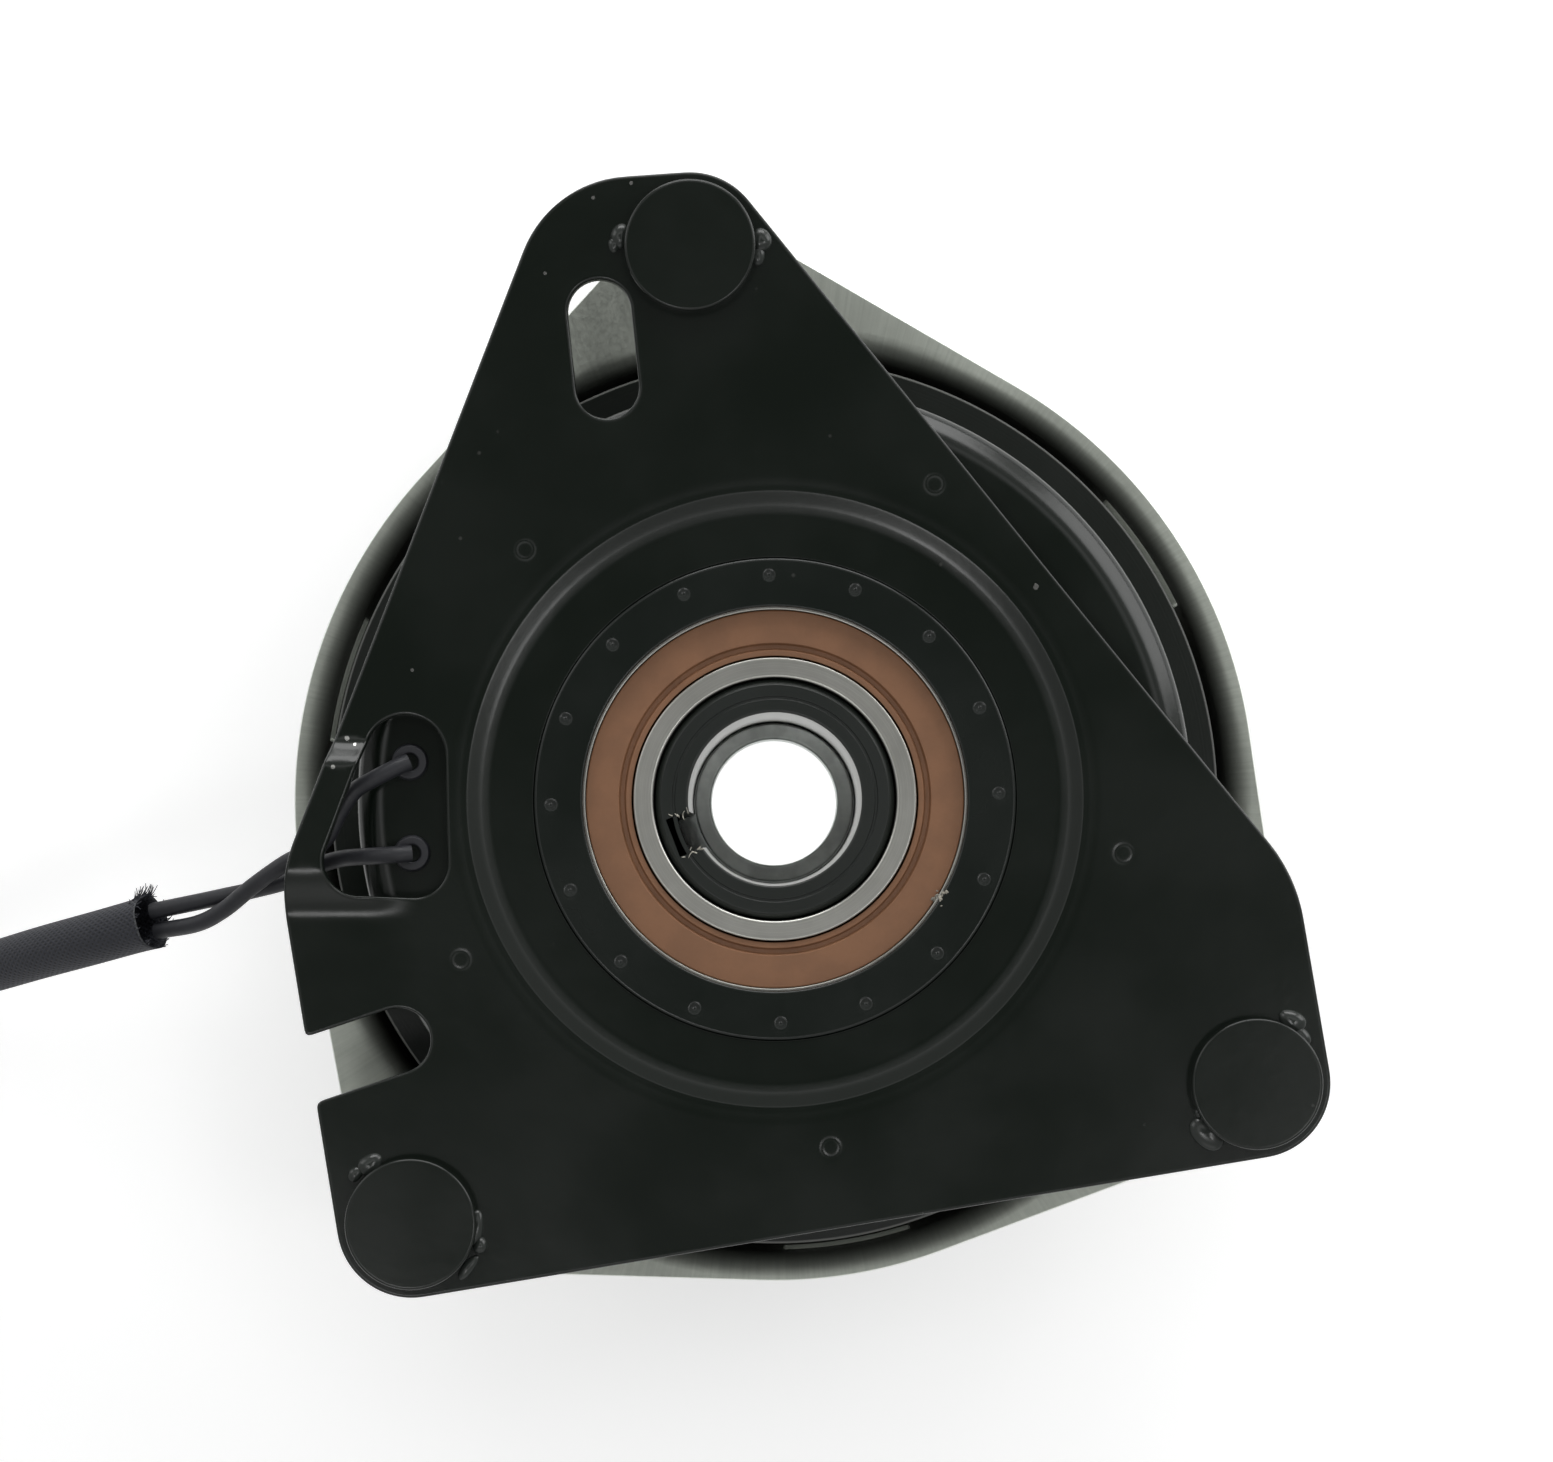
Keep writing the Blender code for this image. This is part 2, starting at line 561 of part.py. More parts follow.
def build_hub():
    """The keyed sleeve that both bearings and the rotor sit on."""
    seat_r = BEARING_BORE_R - SEAT
    foot = HUB_FOOT_CLEARANCE
    ring_top = BEARING_Z - SEAT
    ring_foot = ring_top - SNAP_RING_THICK
    groove_r = seat_r - SNAP_RING_DEPTH
    shoulder_r = BEARING_BORE_R + HUB_SHOULDER
    profile = [
        (BORE_R, foot),
        (BORE_R, field_bearing_top),
        (seat_r - HUB_CHAMFER, field_bearing_top),
        (seat_r, field_bearing_top - HUB_CHAMFER),
        (seat_r, field_bearing_bottom - SEAT),
        (shoulder_r, field_bearing_bottom - SEAT),
        (shoulder_r, pulley_bearing_top + SEAT),
        (seat_r, pulley_bearing_top + SEAT),
        (seat_r, ring_top + SEAT),
        (groove_r, ring_top + SEAT),
        (groove_r, ring_foot - SEAT),
        (seat_r, ring_foot - SEAT),
        (seat_r, foot),
    ]
    hub = place("rotor_hub", turned(profile, MEDIUM), BLACK_PAINT)
    half = KEY_WIDTH / 2
    turn = Matrix.Rotation(math.radians(KEY_ANGLE), 2)
    key_floor_r = BORE_R + KEY_DEPTH
    corners = [(0.0, -half), (key_floor_r, -half), (key_floor_r, half), (0.0, half)]
    key = prism([tuple(turn @ Vector(c)) for c in corners], 0.0, field_bearing_top + SEAT)
    combine(hub, key, "DIFFERENCE", "keyway")
    bush_r = BORE_R - SEAT
    bush = tube(bush_r - BUSH_WALL, bush_r, foot, foot + BUSH_LENGTH, MEDIUM)
    place("shaft_bush", bush, DRAWN_STEEL)
    ring = tube(groove_r + SEAT, INNER_RACE_R - SEAT, ring_foot, ring_top, MEDIUM)
    place("hub_retaining_ring", ring, SPRING_STEEL)


def build_rotor():
    """The slotted pole disc with its rim round the shell and its boss on the hub."""
    bore_r = BEARING_BORE_R + HUB_SHOULDER + SEAT
    rim_top = rotor_face + ROTOR_RIM_HEIGHT
    rim_inner_r = SHELL_R + RUNNING
    boss_top_z = field_bearing_bottom - ROTOR_BOSS_SHORT
    groove_top = rotor_face + FRICTION_DEPTH
    profile = [
        (bore_r, rotor_face),
        (bore_r, boss_top_z),
        (ROTOR_BOSS_R, boss_top_z),
        (ROTOR_BOSS_R, rotor_back),
        (rim_inner_r, rotor_back),
        (rim_inner_r, rim_top),
        (ROTOR_R - ROTOR_RIM_CHAMFER, rim_top),
        (ROTOR_R, rim_top - ROTOR_RIM_CHAMFER),
        (ROTOR_R, rotor_face),
        (FRICTION_OUTER_R, rotor_face),
        (FRICTION_OUTER_R, groove_top),
        (FRICTION_INNER_R, groove_top),
        (FRICTION_INNER_R, rotor_face),
    ]
    rotor = place("rotor", turned(profile, LARGE), BLACK_PAINT)
    slots = bmesh.new()
    step = 360.0 / ROTOR_SLOTS
    for i in range(ROTOR_SLOTS):
        for radius, offset in ((INNER_SLOT_R, 0.0), (OUTER_SLOT_R, step / 2)):
            middle = step * i + offset
            low, high = rotor_face - SEAT, rotor_back + SEAT
            arc_slot(radius, SLOT_HALF_WIDTH, middle, ROTOR_SLOT_ARC, low, high, slots)
    combine(rotor, slots, "DIFFERENCE", "slots")
    lining = tube(FRICTION_INNER_R + SEAT, FRICTION_OUTER_R - SEAT, rotor_face, groove_top - SEAT, LARGE)
    place("friction_ring", lining, LINING)


def build_armature():
    """The flat steel ring that the coil pulls up against the rotor."""
    ring = tube(ARMATURE_INNER_R, ARMATURE_R, armature_bottom, armature_top, LARGE)
    armature = place("armature", ring, DRAWN_STEEL)
    cuts = bmesh.new()
    head_floor = armature_top - SEAT - RIVET_HEAD_THICK - SEAT
    for i in range(LEAVES):
        angle = FIRST_LEAF_ANGLE + 360.0 * i / LEAVES + LEAF_SPAN_ANGLE
        at = polar(RIVET_CIRCLE_R, angle)
        loops = [
            (circle(at, RIVET_R + SEAT, TINY), armature_bottom - SEAT, head_floor + SEAT),
            (circle(at, RIVET_HEAD_R + SEAT, SMALL), head_floor, armature_top + SEAT),
        ]
        for loop, low, high in loops:
            combine(armature, prism(loop, low, high), "DIFFERENCE", f"rivet_hole_{i}_{len(loop)}")
        middle = angle + LEAF_SPAN_ANGLE
        low, high = armature_bottom - SEAT, armature_top + SEAT
        arc_slot(ARMATURE_SLOT_R, SLOT_HALF_WIDTH, middle, ARMATURE_SLOT_ARC, low, high, cuts)
    combine(armature, cuts, "DIFFERENCE", "slots")


def build_pulley():
    """The belt pulley: a V groove, a web with three bosses for the springs, and the bearing seat."""
    flange = (PULLEY_WIDTH - GROOVE_TOP_WIDTH) / 2
    run_in = BELT_GROOVE_DEPTH * math.tan(math.radians(BELT_ANGLE / 2))
    groove_floor_r = PULLEY_R - BELT_GROOVE_DEPTH
    web_top = WEB_Z + WEB_THICK
    seat_r = BEARING_OUTER_R + SEAT
    seat_foot = BEARING_Z - SEAT
    shoulder_bore_r = BEARING_OUTER_R - SHOULDER_HOLD
    ring_foot = pulley_bearing_top + SEAT
    ring_top = ring_foot + SNAP_RING_THICK
    ring_groove_r = seat_r + SNAP_RING_DEPTH
    hub_top = ring_top + 2 * SEAT + SNAP_RING_THICK / 2
    profile = [
        (RIM_INNER_R, 0.0),
        (RIM_INNER_R, WEB_Z),
        (PULLEY_HUB_R, WEB_Z),
        (PULLEY_HUB_R, seat_foot - BEARING_SHOULDER),
        (shoulder_bore_r, seat_foot - BEARING_SHOULDER),
        (shoulder_bore_r, seat_foot),
        (seat_r, seat_foot),
        (seat_r, ring_foot - SEAT),
        (ring_groove_r, ring_foot - SEAT),
        (ring_groove_r, ring_top + SEAT),
        (seat_r, ring_top + SEAT),
        (seat_r, hub_top),
        (PULLEY_HUB_R, hub_top),
        (PULLEY_HUB_R, web_top),
        (RIM_INNER_R, web_top),
        (RIM_INNER_R, PULLEY_WIDTH),
        (PULLEY_R, PULLEY_WIDTH),
        (PULLEY_R, PULLEY_WIDTH - flange),
        (groove_floor_r, PULLEY_WIDTH - flange - run_in),
        (groove_floor_r, flange + run_in),
        (PULLEY_R, flange),
        (PULLEY_R, 0.0),
    ]
    pulley = place("pulley", turned(profile, LARGE), BLACK_PAINT)
    bosses = bmesh.new()
    holes = bmesh.new()
    for i in range(LEAVES):
        at = polar(RIVET_CIRCLE_R, FIRST_LEAF_ANGLE + 360.0 * i / LEAVES)
        prism(circle(at, BOSS_R, SMALL), web_top - WEB_THICK / 2, boss_top, bosses)
        prism(circle(at, RIVET_R + SEAT, TINY), WEB_Z - SEAT, boss_top + SEAT, holes)
    combine(pulley, bosses, "UNION", "bosses")
    combine(pulley, holes, "DIFFERENCE", "rivet_holes")
    ring_inner_r = BEARING_OUTER_R - SNAP_RING_HOLD
    snap_ring = tube(ring_inner_r, ring_groove_r - SEAT, ring_foot, ring_top, MEDIUM)
    place("pulley_snap_ring", snap_ring, SPRING_STEEL)


def build_leaf_springs():
    """Three leaves, each riveted to a pulley boss at its low end and to the armature at its high one."""
    length = 2 * RIVET_CIRCLE_R * math.sin(math.radians(LEAF_SPAN_ANGLE / 2))
    half = length / 2
    outline = hull_of_circles([(-half, 0.0, LEAF_WIDTH / 2), (half, 0.0, LEAF_WIDTH / 2)], SMALL)
    holes = [circle((x, 0.0), RIVET_R + SEAT, TINY) for x in (-half, half)]
    knee = half - LEAF_FLAT
    folds = [([(x, -LEAF_WIDTH), (x, LEAF_WIDTH)], False) for x in (-knee, knee)]

    def ramp(x, _y):
        return leaf_rise * min(max((x + knee) / (2 * knee), 0.0), 1.0)

    for i in range(LEAVES):
        start = FIRST_LEAF_ANGLE + 360.0 * i / LEAVES
        bm = formed_sheet(outline, holes, folds, ramp, 0.0, LEAF_THICK)
        leaf = place(f"leaf_spring_{i + 1}", bm, SPRING_STEEL)
        middle = start + LEAF_SPAN_ANGLE / 2
        x, y = polar(RIVET_CIRCLE_R * math.cos(math.radians(LEAF_SPAN_ANGLE / 2)), middle)
        leaf.location = (x, y, leaf_low + LEAF_THICK)
        leaf.rotation_euler = (0.0, 0.0, math.radians(middle + 90.0))


def rivet(name, at, head_top, shank_foot):
    """A rivet closed at both ends: its upper head hangs from head_top, its lower one sits at shank_foot."""
    head_low = head_top - RIVET_HEAD_THICK
    tail_low = shank_foot - RIVET_HEAD_THICK
    edge = RIVET_HEAD_R - RIVET_HEAD_THICK / 3
    bm = bmesh.new()
    loops = [(edge, tail_low), (RIVET_HEAD_R, shank_foot), (RIVET_R, shank_foot)]
    loops += [(RIVET_R, head_low), (RIVET_HEAD_R, head_low), (edge, head_top)]
    rings = [[bm.verts.new((x, y, z)) for x, y in circle((0.0, 0.0), r, TINY)] for r, z in loops]
    for low, high in zip(rings, rings[1:]):
        for a, b, c, d in zip(low, low[1:] + low[:1], high[1:] + high[:1], high):
            bm.faces.new((a, b, c, d))
    bm.faces.new(rings[0])
    bm.faces.new(rings[-1])
    bmesh.ops.recalc_face_normals(bm, faces=bm.faces)
    place(name, bm, ZINC, (*at, 0.0))


def build_rivets():
    for i in range(LEAVES):
        start = FIRST_LEAF_ANGLE + 360.0 * i / LEAVES
        head_top = leaf_low + LEAF_THICK + SEAT + RIVET_HEAD_THICK
        rivet(f"pulley_rivet_{i + 1}", polar(RIVET_CIRCLE_R, start), head_top, WEB_Z - SEAT)
        at = polar(RIVET_CIRCLE_R, start + LEAF_SPAN_ANGLE)
        rivet(f"armature_rivet_{i + 1}", at, armature_top - SEAT, leaf_high - SEAT)


def build_brake_plate():
    """A drawn drum: flat ears at the studs, a round wall with gauge windows, and the braking lip."""
    bend_r = DRUM_INNER_R + DRUM_BEND_R
    drum_outer_r = DRUM_INNER_R + BRAKE_SHEET
    stud_holes = [circle(at, STUD_R + RUNNING, SMALL) for at in studs.values()]
    rim = circle((0.0, 0.0), bend_r, LARGE)
    bm = formed_sheet(brake_outline, [rim] + stud_holes, [], lambda x, y: 0.0, flange_top, BRAKE_SHEET)
    inner_wall = [f for f in bm.faces if all(abs(v.co.xy.length - bend_r) < 1e-6 for v in f.verts)]
    bmesh.ops.delete(bm, geom=inner_wall, context="FACES")
    bend = (bend_r, flange_top - DRUM_BEND_R)
    foot_bend = DRUM_FOOT_BEND_R
    lip_turn_r = DRUM_INNER_R - foot_bend
    profile = arc(bend, DRUM_BEND_R, 90.0, 180.0, 3)
    profile += arc((lip_turn_r, lip_top + foot_bend), foot_bend, 0.0, -90.0, 2)
    profile += [(BRAKE_LIP_INNER_R, lip_top), (BRAKE_LIP_INNER_R, lip_bottom)]
    profile += arc((lip_turn_r, lip_top + foot_bend), foot_bend + BRAKE_SHEET, -90.0, 0.0, 2)
    profile += arc(bend, DRUM_BEND_R - BRAKE_SHEET, 180.0, 90.0, 2)
    line = [bm.verts.new((r, 0.0, z)) for r, z in profile]
    edges = [bm.edges.new((a, b)) for a, b in zip(line, line[1:])]
    bmesh.ops.spin(
        bm, geom=line + edges, cent=(0, 0, 0), axis=(0, 0, 1), angle=math.tau, steps=LARGE, use_merge=True
    )
    bmesh.ops.remove_doubles(bm, verts=bm.verts, dist=1e-6)
    bmesh.ops.recalc_face_normals(bm, faces=bm.faces)
    brake = place("brake_plate", bm, DRAWN_STEEL)
    windows = bmesh.new()
    angles = sorted(angle % 360.0 for angle in STUD_ANGLES.values())
    window_middle = (armature_top + rotor_face) / 2
    for first, second in zip(angles, angles[1:] + [angles[0] + 360.0]):
        turn = Matrix.Rotation(math.radians((first + second) / 2), 2)
        near, far, half = ROTOR_R, drum_outer_r + BRAKE_SHEET, WINDOW_WIDTH / 2
        corners = [(near, -half), (far, -half), (far, half), (near, half)]
        loop = [tuple(turn @ Vector(c)) for c in corners]
        prism(loop, window_middle - WINDOW_HEIGHT / 2, window_middle + WINDOW_HEIGHT / 2, windows)
    combine(brake, windows, "DIFFERENCE", "windows")


def build_stud(side, at):
    """A flat disc-headed stud."""
    head_low = plate_top + SEAT
    bm = bmesh.new()
    head_top = head_low + STUD_HEAD_THICK
    tip_r = STUD_R - STUD_TIP_TAPER
    loops = [(tip_r, stud_end, SMALL), (STUD_R, stud_end + STUD_TIP_LENGTH, SMALL), (STUD_R, head_low, SMALL)]
    rings = [[bm.verts.new((x, y, z)) for x, y in circle((0.0, 0.0), r, n)] for r, z, n in loops]
    head = [(STUD_HEAD_R, head_low), (STUD_HEAD_R, head_top - STUD_HEAD_CHAMFER)]
    head.append((STUD_HEAD_R - STUD_HEAD_CHAMFER, head_top))
    rings += [[bm.verts.new((x, y, z)) for x, y in circle((0.0, 0.0), r, 2 * SMALL)] for r, z in head]
    for low, high in zip(rings, rings[1:]):
        if len(low) == len(high):
            for a, b, c, d in zip(low, low[1:] + low[:1], high[1:] + high[:1], high):
                bm.faces.new((a, b, c, d))
        else:
            for i, a in enumerate(low):
                b = low[(i + 1) % len(low)]
                bm.faces.new((a, high[2 * i + 1], high[2 * i]))
                bm.faces.new((a, b, high[2 * i + 1]))
                bm.faces.new((b, high[(2 * i + 2) % len(high)], high[2 * i + 1]))
    bm.faces.new(rings[0])
    bm.faces.new(rings[-1])
    bmesh.ops.recalc_face_normals(bm, faces=bm.faces)
    place(f"stud_{side}", bm, BLACK_PAINT, (*at, 0.0))


def build_brake_spring(side, at):
    """A helical spring between the plate and the brake plate, its ends wound close."""
    low = flange_top + SEAT + SPRING_WIRE_R
    high = plate_bottom - SEAT - SPRING_WIRE_R
    dead = SPRING_CLOSED_TURNS
    steps = int(SPRING_TURNS * SPRING_STEPS_A_TURN)
    curve = bpy.data.curves.new(f"brake_spring_{side}", "CURVE")
    curve.dimensions = "3D"
    curve.bevel_depth = SPRING_WIRE_R
    curve.bevel_resolution = 0
    curve.use_fill_caps = True
    spline = curve.splines.new("POLY")
    spline.points.add(steps)
    close = 2 * SPRING_WIRE_R + SEAT
    for i, point in enumerate(spline.points):
        turn = SPRING_TURNS * i / steps
        rise = min(turn, dead) / dead * close
        rise += max(0.0, turn - (SPRING_TURNS - dead)) / dead * close
        open_share = min(max((turn - dead) / (SPRING_TURNS - 2 * dead), 0.0), 1.0)
        rise += open_share * (high - low - 2 * close)
        x, y = polar(SPRING_COIL_R, 360.0 * turn)
        point.co = (x, y, low + rise, 1.0)
    obj = bpy.data.objects.new(curve.name, curve)
    curve.materials.append(SPRING_STEEL)
    obj.parent = shaft
    obj.location = (*at, 0.0)
    bpy.context.scene.collection.objects.link(obj)


def build_nut(side, at):
    """A washer and a locking nut with a round collar below its hexagon."""
    hole_r = STUD_R + SEAT
    washer = tube(hole_r, WASHER_R, washer_top - WASHER_THICK, washer_top, SMALL)
    place(f"brake_washer_{side}", washer, ZINC, (*at, 0.0))
    hexagon = circle((0.0, 0.0), NUT_ACROSS / 2 / math.cos(math.radians(30.0)), 6)
    hex_foot = nut_top - NUT_HEX_HEIGHT
    nut = place(f"brake_nut_{side}", prism(hexagon, hex_foot, nut_top), ZINC, (*at, 0.0))
    collar = prism(circle((0.0, 0.0), NUT_COLLAR_R, SMALL), hex_foot - NUT_COLLAR_HEIGHT, nut_top - SEAT)
    combine(nut, collar, "UNION", "collar")
    hole = prism(circle((0.0, 0.0), hole_r, SMALL), hex_foot - 2 * NUT_COLLAR_HEIGHT, nut_top + SEAT)
    combine(nut, hole, "DIFFERENCE", "thread")


def build_grommet(side, at):
    """The round rubber grommet that a lead leaves the shell through."""
    ceiling = shell_top - SHELL_BACK - DISH_DEPTH
    neck_foot = ceiling + SEAT
    flange_foot = shell_top + SEAT
    profile = [
        (LEAD_R, neck_foot),
        (GROMMET_NECK_R, neck_foot),
        (GROMMET_NECK_R, flange_foot),
        (GROMMET_R, flange_foot),
        (GROMMET_R - GROMMET_FLANGE / 2, flange_foot + GROMMET_FLANGE),
        (LEAD_R, flange_foot + GROMMET_FLANGE),
    ]
    place(f"lead_grommet_{side}", turned(profile, SMALL), BLACK_RUBBER, (*at, 0.0))


# Routes of the free leads, in metres from the shaft: each leaves its grommet, passes under the
# plate's joggled strip and enters the sleeve, which falls to the floor and curls once round
UPPER_LEAD_ROUTE = [
    (-0.0601, 0.0061, 0.0724), (-0.0625, 0.0050, 0.0729), (-0.0660, 0.0032, 0.0723),
    (-0.0690, 0.0014, 0.0714), (-0.0716, -0.0022, 0.0709), (-0.0738, -0.0064, 0.0708),
    (-0.0768, -0.0088, 0.0706), (-0.0804, -0.0104, 0.0700), (-0.0860, -0.0142, 0.0680),
    (-0.0912, -0.0182, 0.0652), (-0.0960, -0.0206, 0.0625), (-0.10324, -0.02190, 0.05827),
]
LOWER_LEAD_ROUTE = [
    (-0.0597, -0.0089, 0.0724), (-0.0620, -0.0091, 0.0728), (-0.0650, -0.0093, 0.0719),
    (-0.0685, -0.0095, 0.0700), (-0.0715, -0.0098, 0.0683), (-0.0750, -0.0108, 0.0671),
    (-0.0804, -0.0134, 0.0662), (-0.0860, -0.0149, 0.0646), (-0.0912, -0.0160, 0.0630),
    (-0.0965, -0.0171, 0.0611), (-0.10412, -0.01862, 0.05827),
]
SLEEVE_ROUTE = [
    (-0.1042, -0.0204, 0.0580), (-0.1142, -0.0231, 0.0527), (-0.1242, -0.0257, 0.0462),
    (-0.1340, -0.0284, 0.0388), (-0.1440, -0.0310, 0.0307), (-0.1540, -0.0336, 0.0226),
    (-0.1645, -0.0362, 0.0146), (-0.1770, -0.0386, 0.0080), (-0.1920, -0.0400, 0.0050),
    (-0.2112, -0.0366, 0.0050), (-0.2316, -0.0236, 0.0050), (-0.2446, -0.0032, 0.0050),
    (-0.2478, 0.0209, 0.0050), (-0.2405, 0.0440, 0.0050), (-0.2241, 0.0619, 0.0050),
    (-0.2060, 0.0705, 0.0050), (-0.1920, 0.0716, 0.0050),
]
TAIL_LENGTH = 0.0140
TAIL_SPREAD = 0.0017
CONNECTOR_HEADING = 0.0


def smooth_route(route, spacing):
    """Points at even parameters of a Catmull-Rom curve through the route's own points."""
    ends = [Vector(p) for p in route]
    ends = [2 * ends[0] - ends[1]] + ends + [2 * ends[-1] - ends[-2]]
    points = []
    for a, b, c, d in zip(ends, ends[1:], ends[2:], ends[3:]):
        count = max(1, round((c - b).length / spacing))
        for i in range(count):
            t = i / count
            bend = (2 * a - 5 * b + 4 * c - d) * t**2 + (3 * b - a - 3 * c + d) * t**3
            points.append(0.5 * (2 * b + (c - a) * t + bend))
    return points + [ends[-2]]


def cord(name, route, radius, look, spacing=None):
    """A tube along a smooth curve through the route's points."""
    curve = bpy.data.curves.new(name, "CURVE")
    curve.dimensions = "3D"
    curve.bevel_depth = radius
    curve.bevel_resolution = 2
    curve.use_fill_caps = True
    points = smooth_route(route, spacing or 4.0 * radius)
    spline = curve.splines.new("POLY")
    spline.points.add(len(points) - 1)
    for point, at in zip(spline.points, points):
        point.co = (*at, 1.0)
    curve.materials.append(look)
    obj = bpy.data.objects.new(name, curve)
    obj.parent = shaft
    bpy.context.scene.collection.objects.link(obj)


def build_cord():
    """Two leads, the braided sleeve round them, and a two-pole connector on the far end."""
    cord("lead_upper", UPPER_LEAD_ROUTE, LEAD_R, BLACK_RUBBER)
    cord("lead_lower", LOWER_LEAD_ROUTE, LEAD_R, BLACK_RUBBER)
    cord("braided_sleeve", SLEEVE_ROUTE, SLEEVE_R, BLACK_BRAID)
    along = Vector((*polar(1.0, CONNECTOR_HEADING), 0.0))
    aside = Vector((-along.y, along.x, 0.0))
    start = Vector(SLEEVE_ROUTE[-1])
    for side, sign in (("left", 1.0), ("right", -1.0)):
        first = start + 2 * SEAT * along + sign * TAIL_SPREAD * aside
        tail = [first + along * TAIL_LENGTH * i / 3 for i in range(4)]
        cord(f"connector_lead_{side}", tail, LEAD_R, BLACK_RUBBER)
    length, width, height = CONNECTOR_SIZE
    back = start + (4 * SEAT + TAIL_LENGTH) * along
    middle = back + along * length / 2
    bm = bmesh.new()
    bmesh.ops.create_cube(bm, size=1.0, matrix=Matrix.Diagonal((length, width, height, 1.0)))
    bmesh.ops.bevel(
        bm, geom=bm.edges[:], offset=CONNECTOR_EDGE, offset_type="OFFSET", segments=1, affect="EDGES"
    )
    at = (middle.x, middle.y, height / 2 + SEAT)
    connector = place("lead_connector", bm, BLACK_PLASTIC, at)
    connector.rotation_euler = (0.0, 0.0, math.radians(CONNECTOR_HEADING))
    sockets = bmesh.new()
    for sign in (1.0, -1.0):
        y0 = sign * CONNECTOR_WALL / 2
        y1 = sign * (width / 2 - CONNECTOR_WALL)
        low, high = sorted((y0, y1))
        x0, x1 = length / 2 - SOCKET_DEPTH, length / 2 + SEAT
        loop = [(x0, low), (x1, low), (x1, high), (x0, high)]
        prism(loop, -height / 2 + CONNECTOR_WALL, height / 2 - CONNECTOR_WALL, sockets)
    combine(connector, sockets, "DIFFERENCE", "sockets")
    bpy.data.objects["lead_connector_sockets"].rotation_euler = connector.rotation_euler


build_field_plate()
build_field_shell()
build_bearing_housing()
build_coil()
build_bearing("field", field_bearing_top)
build_bearing("pulley", pulley_bearing_top)
build_hub()
build_rotor()
build_armature()
build_pulley()
build_leaf_springs()
build_rivets()
build_brake_plate()
for stud_side, stud_at in studs.items():
    build_stud(stud_side, stud_at)
    build_brake_spring(stud_side, stud_at)
    build_nut(stud_side, stud_at)
for lead_side, grommet_at in grommets.items():
    build_grommet(lead_side, grommet_at)
build_cord()
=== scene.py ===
# %% [markdown]
# An electric clutch and brake for a mower's blade drive, lying on its belt pulley. On the real
# object a coil in the black shell pulls a steel ring, the armature, against the slotted rotor,
# and when the current stops, springs drop the ring on the brake drum. This lesson dresses a
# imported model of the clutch: each piece is a surface worked out with numpy, in metres.

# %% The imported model, its shaft and its heights
import json

import bpy
import numpy as np
from mathutils.geometry import delaunay_2d_cdt
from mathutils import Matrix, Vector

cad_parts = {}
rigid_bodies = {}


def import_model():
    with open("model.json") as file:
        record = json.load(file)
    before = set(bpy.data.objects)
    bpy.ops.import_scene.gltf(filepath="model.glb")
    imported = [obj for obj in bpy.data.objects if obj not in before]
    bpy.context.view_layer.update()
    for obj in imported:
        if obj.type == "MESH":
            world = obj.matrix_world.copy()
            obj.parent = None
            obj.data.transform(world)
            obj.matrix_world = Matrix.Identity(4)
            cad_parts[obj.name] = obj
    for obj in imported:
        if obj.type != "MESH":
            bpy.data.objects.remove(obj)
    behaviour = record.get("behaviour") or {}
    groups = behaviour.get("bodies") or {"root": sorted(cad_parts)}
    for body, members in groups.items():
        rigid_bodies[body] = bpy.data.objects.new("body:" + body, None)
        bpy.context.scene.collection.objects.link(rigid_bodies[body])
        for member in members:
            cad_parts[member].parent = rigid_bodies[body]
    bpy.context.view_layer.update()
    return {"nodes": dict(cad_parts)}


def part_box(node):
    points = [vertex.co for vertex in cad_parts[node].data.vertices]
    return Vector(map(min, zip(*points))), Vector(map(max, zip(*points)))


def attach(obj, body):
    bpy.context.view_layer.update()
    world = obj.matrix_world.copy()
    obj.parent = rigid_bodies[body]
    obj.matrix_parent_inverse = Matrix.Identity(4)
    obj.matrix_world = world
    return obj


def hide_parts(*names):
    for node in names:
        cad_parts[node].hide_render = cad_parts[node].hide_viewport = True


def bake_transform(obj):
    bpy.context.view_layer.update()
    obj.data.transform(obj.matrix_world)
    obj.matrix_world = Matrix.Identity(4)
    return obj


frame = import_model()
MM = 0.001
pulley_low, pulley_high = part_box("pulley")
SHAFT = np.array([(pulley_low.x + pulley_high.x) / 2, (pulley_low.y + pulley_high.y) / 2, 0.0])
print("shaft", SHAFT.round(6), "pulley", round(pulley_high.x - pulley_low.x, 4))


def node_bottom(node):
    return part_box(node)[0].z


def node_top(node):
    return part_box(node)[1].z


PLATE_THICK = 3.0 * MM
PLATE_TOP = node_top("field_shell") + 0.3 * MM + PLATE_THICK
print("plate top", round(PLATE_TOP, 5), "stud heads", round(node_top("stud_top"), 5))

# %% [markdown]
# The photograph looks straight along the shaft from about three quarters of a metre. The far end
# of the bore shows a little below and left of its near end, so the lens axis stands beside the
# shaft, and the camera's shift brings the clutch back to its place in the picture.

# %% Camera
CAMERA_DISTANCE = 0.750
camera_data = bpy.data.cameras.new("camera")
camera_data.sensor_width = 36.0
camera_data.lens = 106.05
camera_data.shift_x = 0.0087
camera_data.shift_y = 0.0753
camera_data.clip_start = 0.05
camera_data.clip_end = 20.0
camera = bpy.data.objects.new("camera", camera_data)
camera.location = (SHAFT[0] - 1.97 * MM, SHAFT[1] - 8.03 * MM, PLATE_TOP + CAMERA_DISTANCE)
bpy.context.scene.collection.objects.link(camera)
bpy.context.scene.camera = camera
print("camera", [round(c, 4) for c in camera.location])

